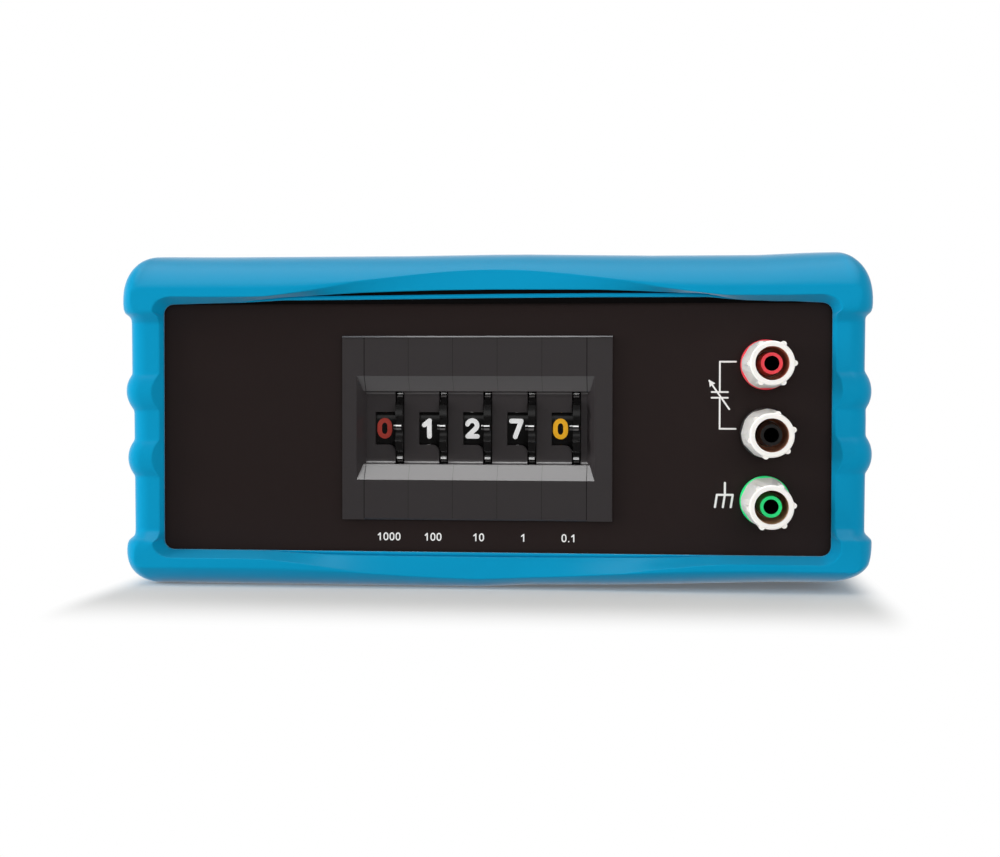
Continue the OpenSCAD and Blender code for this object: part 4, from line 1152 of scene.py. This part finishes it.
@dataclass
class BindingPosts:
    """Painted shade in the three posts: warm brown in the recess of each knob, black in the bore of
    each socket.
    """

    x: float = 76.8
    zs: Triple = (18.05, -1.0, -20.05)
    colours: tuple[str, ...] = ("red", "black", "green")
    bore_r: float = 2.0
    bore_wall: float = 0.3
    draft: float = 0.33
    recess: tuple[Pair, ...] = ((3.62, -9.83), (4.47, -9.83), (4.47, -25.2))
    bore: tuple[Pair, ...] = ((0.01, -8.7), (1.97, -8.7), (1.97, -23.1))
    steps: int = 64

    def turned(self, profile: Sequence[Pair], z: float) -> Mesh:
        """Turns a profile of (radius, depth) about a post's axis.

        A profile that leads forwards faces the axis: its points at turn t are
        (x + r cos t, depth, z + r sin t).
        """
        t = np.linspace(0, 2 * math.pi, self.steps, endpoint=False)[:, None]
        r, depth = np.array(profile).T
        points = np.stack([self.x + r * np.cos(t), np.broadcast_to(depth, (self.steps, len(r))),
                           z + r * np.sin(t)], -1)
        return points, grid_faces(self.steps, len(r), round_rows=True)

    def taper(self, shop: Workshop, colour: str, z: float) -> None:
        """Gives a sleeve its moulding draft.

        A point of a merged copy of the CAD sleeve keeps its place along the axis, and its
        distance from the axis shrinks by draft towards the front.
        """
        node = bpy.data.objects[f"{colour}_sleeve"]
        points, faces = merged(node.data)
        points = points / MM - shop.origin
        axis = np.array([self.x, z])
        out = points[:, [0, 2]] - axis
        radius = np.linalg.norm(out, axis=1)
        front, back = points[:, 1].min(), points[:, 1].max()
        share = np.where(radius > self.bore_r + self.bore_wall,
                         self.draft * (back - points[:, 1]) / (back - front), 0)
        points[:, [0, 2]] = axis + out * (1 - share / radius)[:, None]
        shop.piece(f"{colour}_sleeve_skin", (points, faces), finish_of(node.name),
                   replaces=[node.name])

    def build(self, shop: Workshop) -> None:
        """Builds the sleeves and the painted shade linings. A recess turns with its knob, and a
        bore stays still.
        """
        for colour, z in zip(self.colours, self.zs):
            self.taper(shop, colour, z)
            shop.piece(f"{colour}_recess_painted_shade", self.turned(self.recess, z), KNOB_RECESS_SHADE,
                       f"{colour}_nut", smooth=True)
            shop.piece(f"{colour}_painted_bore_shade", self.turned(self.bore, z), BORE_DARK,
                       smooth=True)


# Studio


class Seen(Enum):
    """Which rays meet a lamp: those of matt surfaces, or those of glossy ones."""

    DIFFUSE = "diffuse"
    GLOSSY = "glossy"


@dataclass(frozen=True)
class Lamp:
    """A soft rectangular lamp, with its place, aim and size in metres.

    Its power is pi times its area times its level, so a level of 1 looks as bright as white
    paper in full light.
    """

    name: str
    place: Triple
    aim: Triple
    size: Pair
    level: float
    seen: Seen

    def build(self) -> None:
        """Adds the lamp. The camera doesn't see it."""
        data = bpy.data.lights.new(self.name, "AREA")
        data.shape, data.size, data.size_y = "RECTANGLE", *self.size
        data.energy = math.pi * self.size[0] * self.size[1] * self.level
        made = add_object(self.name, data)
        made.location = self.place
        x, y, z = np.array(self.aim) - np.array(self.place)
        made.rotation_euler = (math.atan2(math.hypot(x, y), -z), 0,
                               math.atan2(-x, y) if x or y else 0)
        made.visible_glossy = self.seen is Seen.GLOSSY
        made.visible_diffuse = self.seen is Seen.DIFFUSE
        made.visible_camera = False


@dataclass
class Studio:
    """White sweep, soft lamps, black cards and the camera. Only the camera is in millimetres."""

    camera_at: Triple = (44.9, -452.8, 10.4)
    focal_px: float = 1601.0
    yaw: float = 5.38
    pitch: float = -1.32
    roll: float = -0.11
    sensor: float = 36.0
    clip: Pair = (0.02, 50.0)
    # The floor, and the share of plain white on it, which grows away from the object.
    sweep_half: float = 6.0
    floor_colour: str = "e6e5e3"
    shadow_half: Pair = (0.1, 0.085)
    least_white: float = 0.12
    side_rate: float = 5.0
    white_from: Pair = (0.0, 0.057)
    world_fill: float = 0.6
    # The cards: half width, height of the low one, its far and near depth, the slot's heights,
    # and the roof's front, back and height. They lead along the floor, up to the slot, from
    # the slot up to the roof's front, and along the roof.
    flag_half: float = 1.6
    flag_low: float = 0.002
    flag_ys: Pair = (-0.62, -0.085)
    flag_slot: Pair = (0.3, 0.42)
    flag_roof: Triple = (-0.4, 0.25, 1.0)
    # A softbox overhead that only glossy surfaces mirror, and two large fills.
    lamps: tuple[Lamp, ...] = (
        Lamp("sheen", (0.0, -0.14, 0.9), (0, -0.14, 0.0), (1.1, 0.8), 7.5, Seen.GLOSSY),
        Lamp("left_fill", (-1.5, -0.35, 0.35), (0, 0, 0.05), (0.9, 0.9), 8.5, Seen.DIFFUSE),
        Lamp("front_fill", (0.5, -1.5, 0.3), (0, 0, 0.05), (0.9, 0.9), 3.0, Seen.DIFFUSE))

    def camera(self, shop: Workshop) -> None:
        """Makes the camera from the place, turn and focal length solved from the photograph."""
        data = bpy.data.cameras.new("camera")
        made = add_object("camera", data)
        made.location = [float(v) for v in (np.array(self.camera_at) + shop.origin) * MM]
        made.rotation_euler = [math.radians(v) for v in (90 + self.pitch, self.roll, self.yaw)]
        data.sensor_fit, data.sensor_width = "HORIZONTAL", self.sensor
        data.lens = self.focal_px * self.sensor / PHOTO_SIZE[0]
        data.clip_start, data.clip_end = self.clip
        bpy.context.scene.camera = made

    @staticmethod
    def seen_share(tree: bpy.types.NodeTree, path: bpy.types.Node) -> bpy.types.NodeSocket:
        """Returns a socket that is 1 for camera, glossy and transmission rays."""
        share = path.outputs["Is Camera Ray"]
        for kind in ("Is Glossy Ray", "Is Transmission Ray"):
            share = add_node(tree, "Math", {"operation": "MAXIMUM"},
                             {0: share, 1: path.outputs[kind]}).outputs[0]
        return share

    def world(self) -> None:
        """A world that is white to the camera and a dim even fill to the object."""
        bpy.context.scene.world = world = bpy.data.worlds.new("studio_white")
        tree = empty_tree(world)
        fill, seen = (add_node(tree, "Background", {"Color": (1, 1, 1, 1), "Strength": level})
                      for level in (self.world_fill, 1.0))
        share = self.seen_share(tree, add_node(tree, "LightPath"))
        mix = add_node(tree, "MixShader", None, {0: share, 1: fill.outputs[0], 2: seen.outputs[0]})
        add_node(tree, "OutputWorld", None, {"Surface": mix.outputs[0]})

    def paper(self) -> bpy.types.Material:
        """Returns the floor's material: paper that turns plain white farther out.

        The share of plain white grows smoothly with the distance from the object's footprint,
        which counts side_rate times to the sides. Glossy surfaces see it as plain white.
        """
        made = bpy.data.materials.new("white_sweep")
        tree = empty_tree(made)
        matt = add_node(tree, "BsdfDiffuse", {"Color": linear(self.floor_colour)})
        white = add_node(tree, "Emission", {"Strength": 1.0})
        away = add_node(tree, "TexCoord").outputs["Object"]
        for operation, values in (("ABSOLUTE", None), ("SUBTRACT", (*self.shadow_half, 0)),
                                  ("MAXIMUM", (0, 0, 0)), ("MULTIPLY", (self.side_rate, 1, 0)),
                                  ("LENGTH", None)):
            step = add_node(tree, "VectorMath", {"operation": operation}, {0: away})
            if values:
                step.inputs[1].default_value = values
            away = step.outputs["Value" if operation == "LENGTH" else "Vector"]
        ramp = add_node(tree, "MapRange", {
            "interpolation_type": "SMOOTHSTEP", "From Min": self.white_from[0],
            "From Max": self.white_from[1], "To Min": self.least_white}, {"Value": away})
        path = add_node(tree, "LightPath")
        near = add_node(tree, "Math", {"operation": "MAXIMUM"},
                        {0: ramp.outputs[0], 1: path.outputs["Is Glossy Ray"]})
        share = add_node(tree, "Math", {"operation": "MULTIPLY"},
                         {0: near.outputs[0], 1: self.seen_share(tree, path)})
        mix = add_node(tree, "MixShader", None,
                       {0: share.outputs[0], 1: matt.outputs[0], 2: white.outputs[0]})
        add_node(tree, "OutputMaterial", None, {"Surface": mix.outputs[0]})
        return made

    def floor(self) -> None:
        """A white floor that keeps the object's shadow."""
        x, y = np.meshgrid((-self.sweep_half, self.sweep_half), (-self.sweep_half, self.sweep_half))
        made = add_mesh("floor", np.stack([x, y, 0 * x], -1).reshape(-1, 3), grid_faces(2, 2),
                        self.paper())

    def flag(self) -> None:
        """Black cards in front of the object, with a slot that lets white through, and a roof.

        Glossy faces mirror them in place of the white floor and world. Nothing else sees them.
        """
        wide, (far, near), (front, back, roof) = self.flag_half, self.flag_ys, self.flag_roof
        rows = [(near, self.flag_low), (far, self.flag_low), *((far, z) for z in self.flag_slot),
                (front, roof), (back, roof)]
        points = np.array([(x, y, z) for y, z in rows for x in (-wide, wide)])
        slot = rows.index((far, self.flag_slot[0]))
        made = add_mesh("black_flag", points, np.delete(grid_faces(len(rows), 2), slot, 0),
                        FLAG_FELT.material())
        made.visible_camera = made.visible_diffuse = made.visible_shadow = False

    def build(self, shop: Workshop) -> None:
        """Builds the camera, the world, the floor, the cards and the lamps."""
        self.camera(shop)
        self.world()
        self.floor()
        self.flag()
        for lamp in self.lamps:
            lamp.build()
        bpy.context.scene.view_settings.view_transform = "Standard"


def dress(nodes: dict[str, bpy.types.Object]) -> None:
    """Gives every CAD node its finish."""
    for name, node in nodes.items():
        material = finish_of(name).material()
        if not node.data.materials:
            node.data.materials.append(material)
        for k in range(len(node.material_slots)):
            node.material_slots[k].link = "OBJECT"
            node.material_slots[k].material = material


def main() -> None:
    """Builds the studio and every piece."""
    logging.basicConfig(level=logging.INFO, format="%(name)s: %(message)s")
    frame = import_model()
    shop = Workshop.from_frame()
    Studio().build(shop)
    dress(frame["nodes"])
    for part in (RubberBoot(), PanelPrint(), SwitchBank(), BindingPosts()):
        part.build(shop)
    LOG.info("%d pieces made", shop.made)


if __name__ == "__main__":
    main()
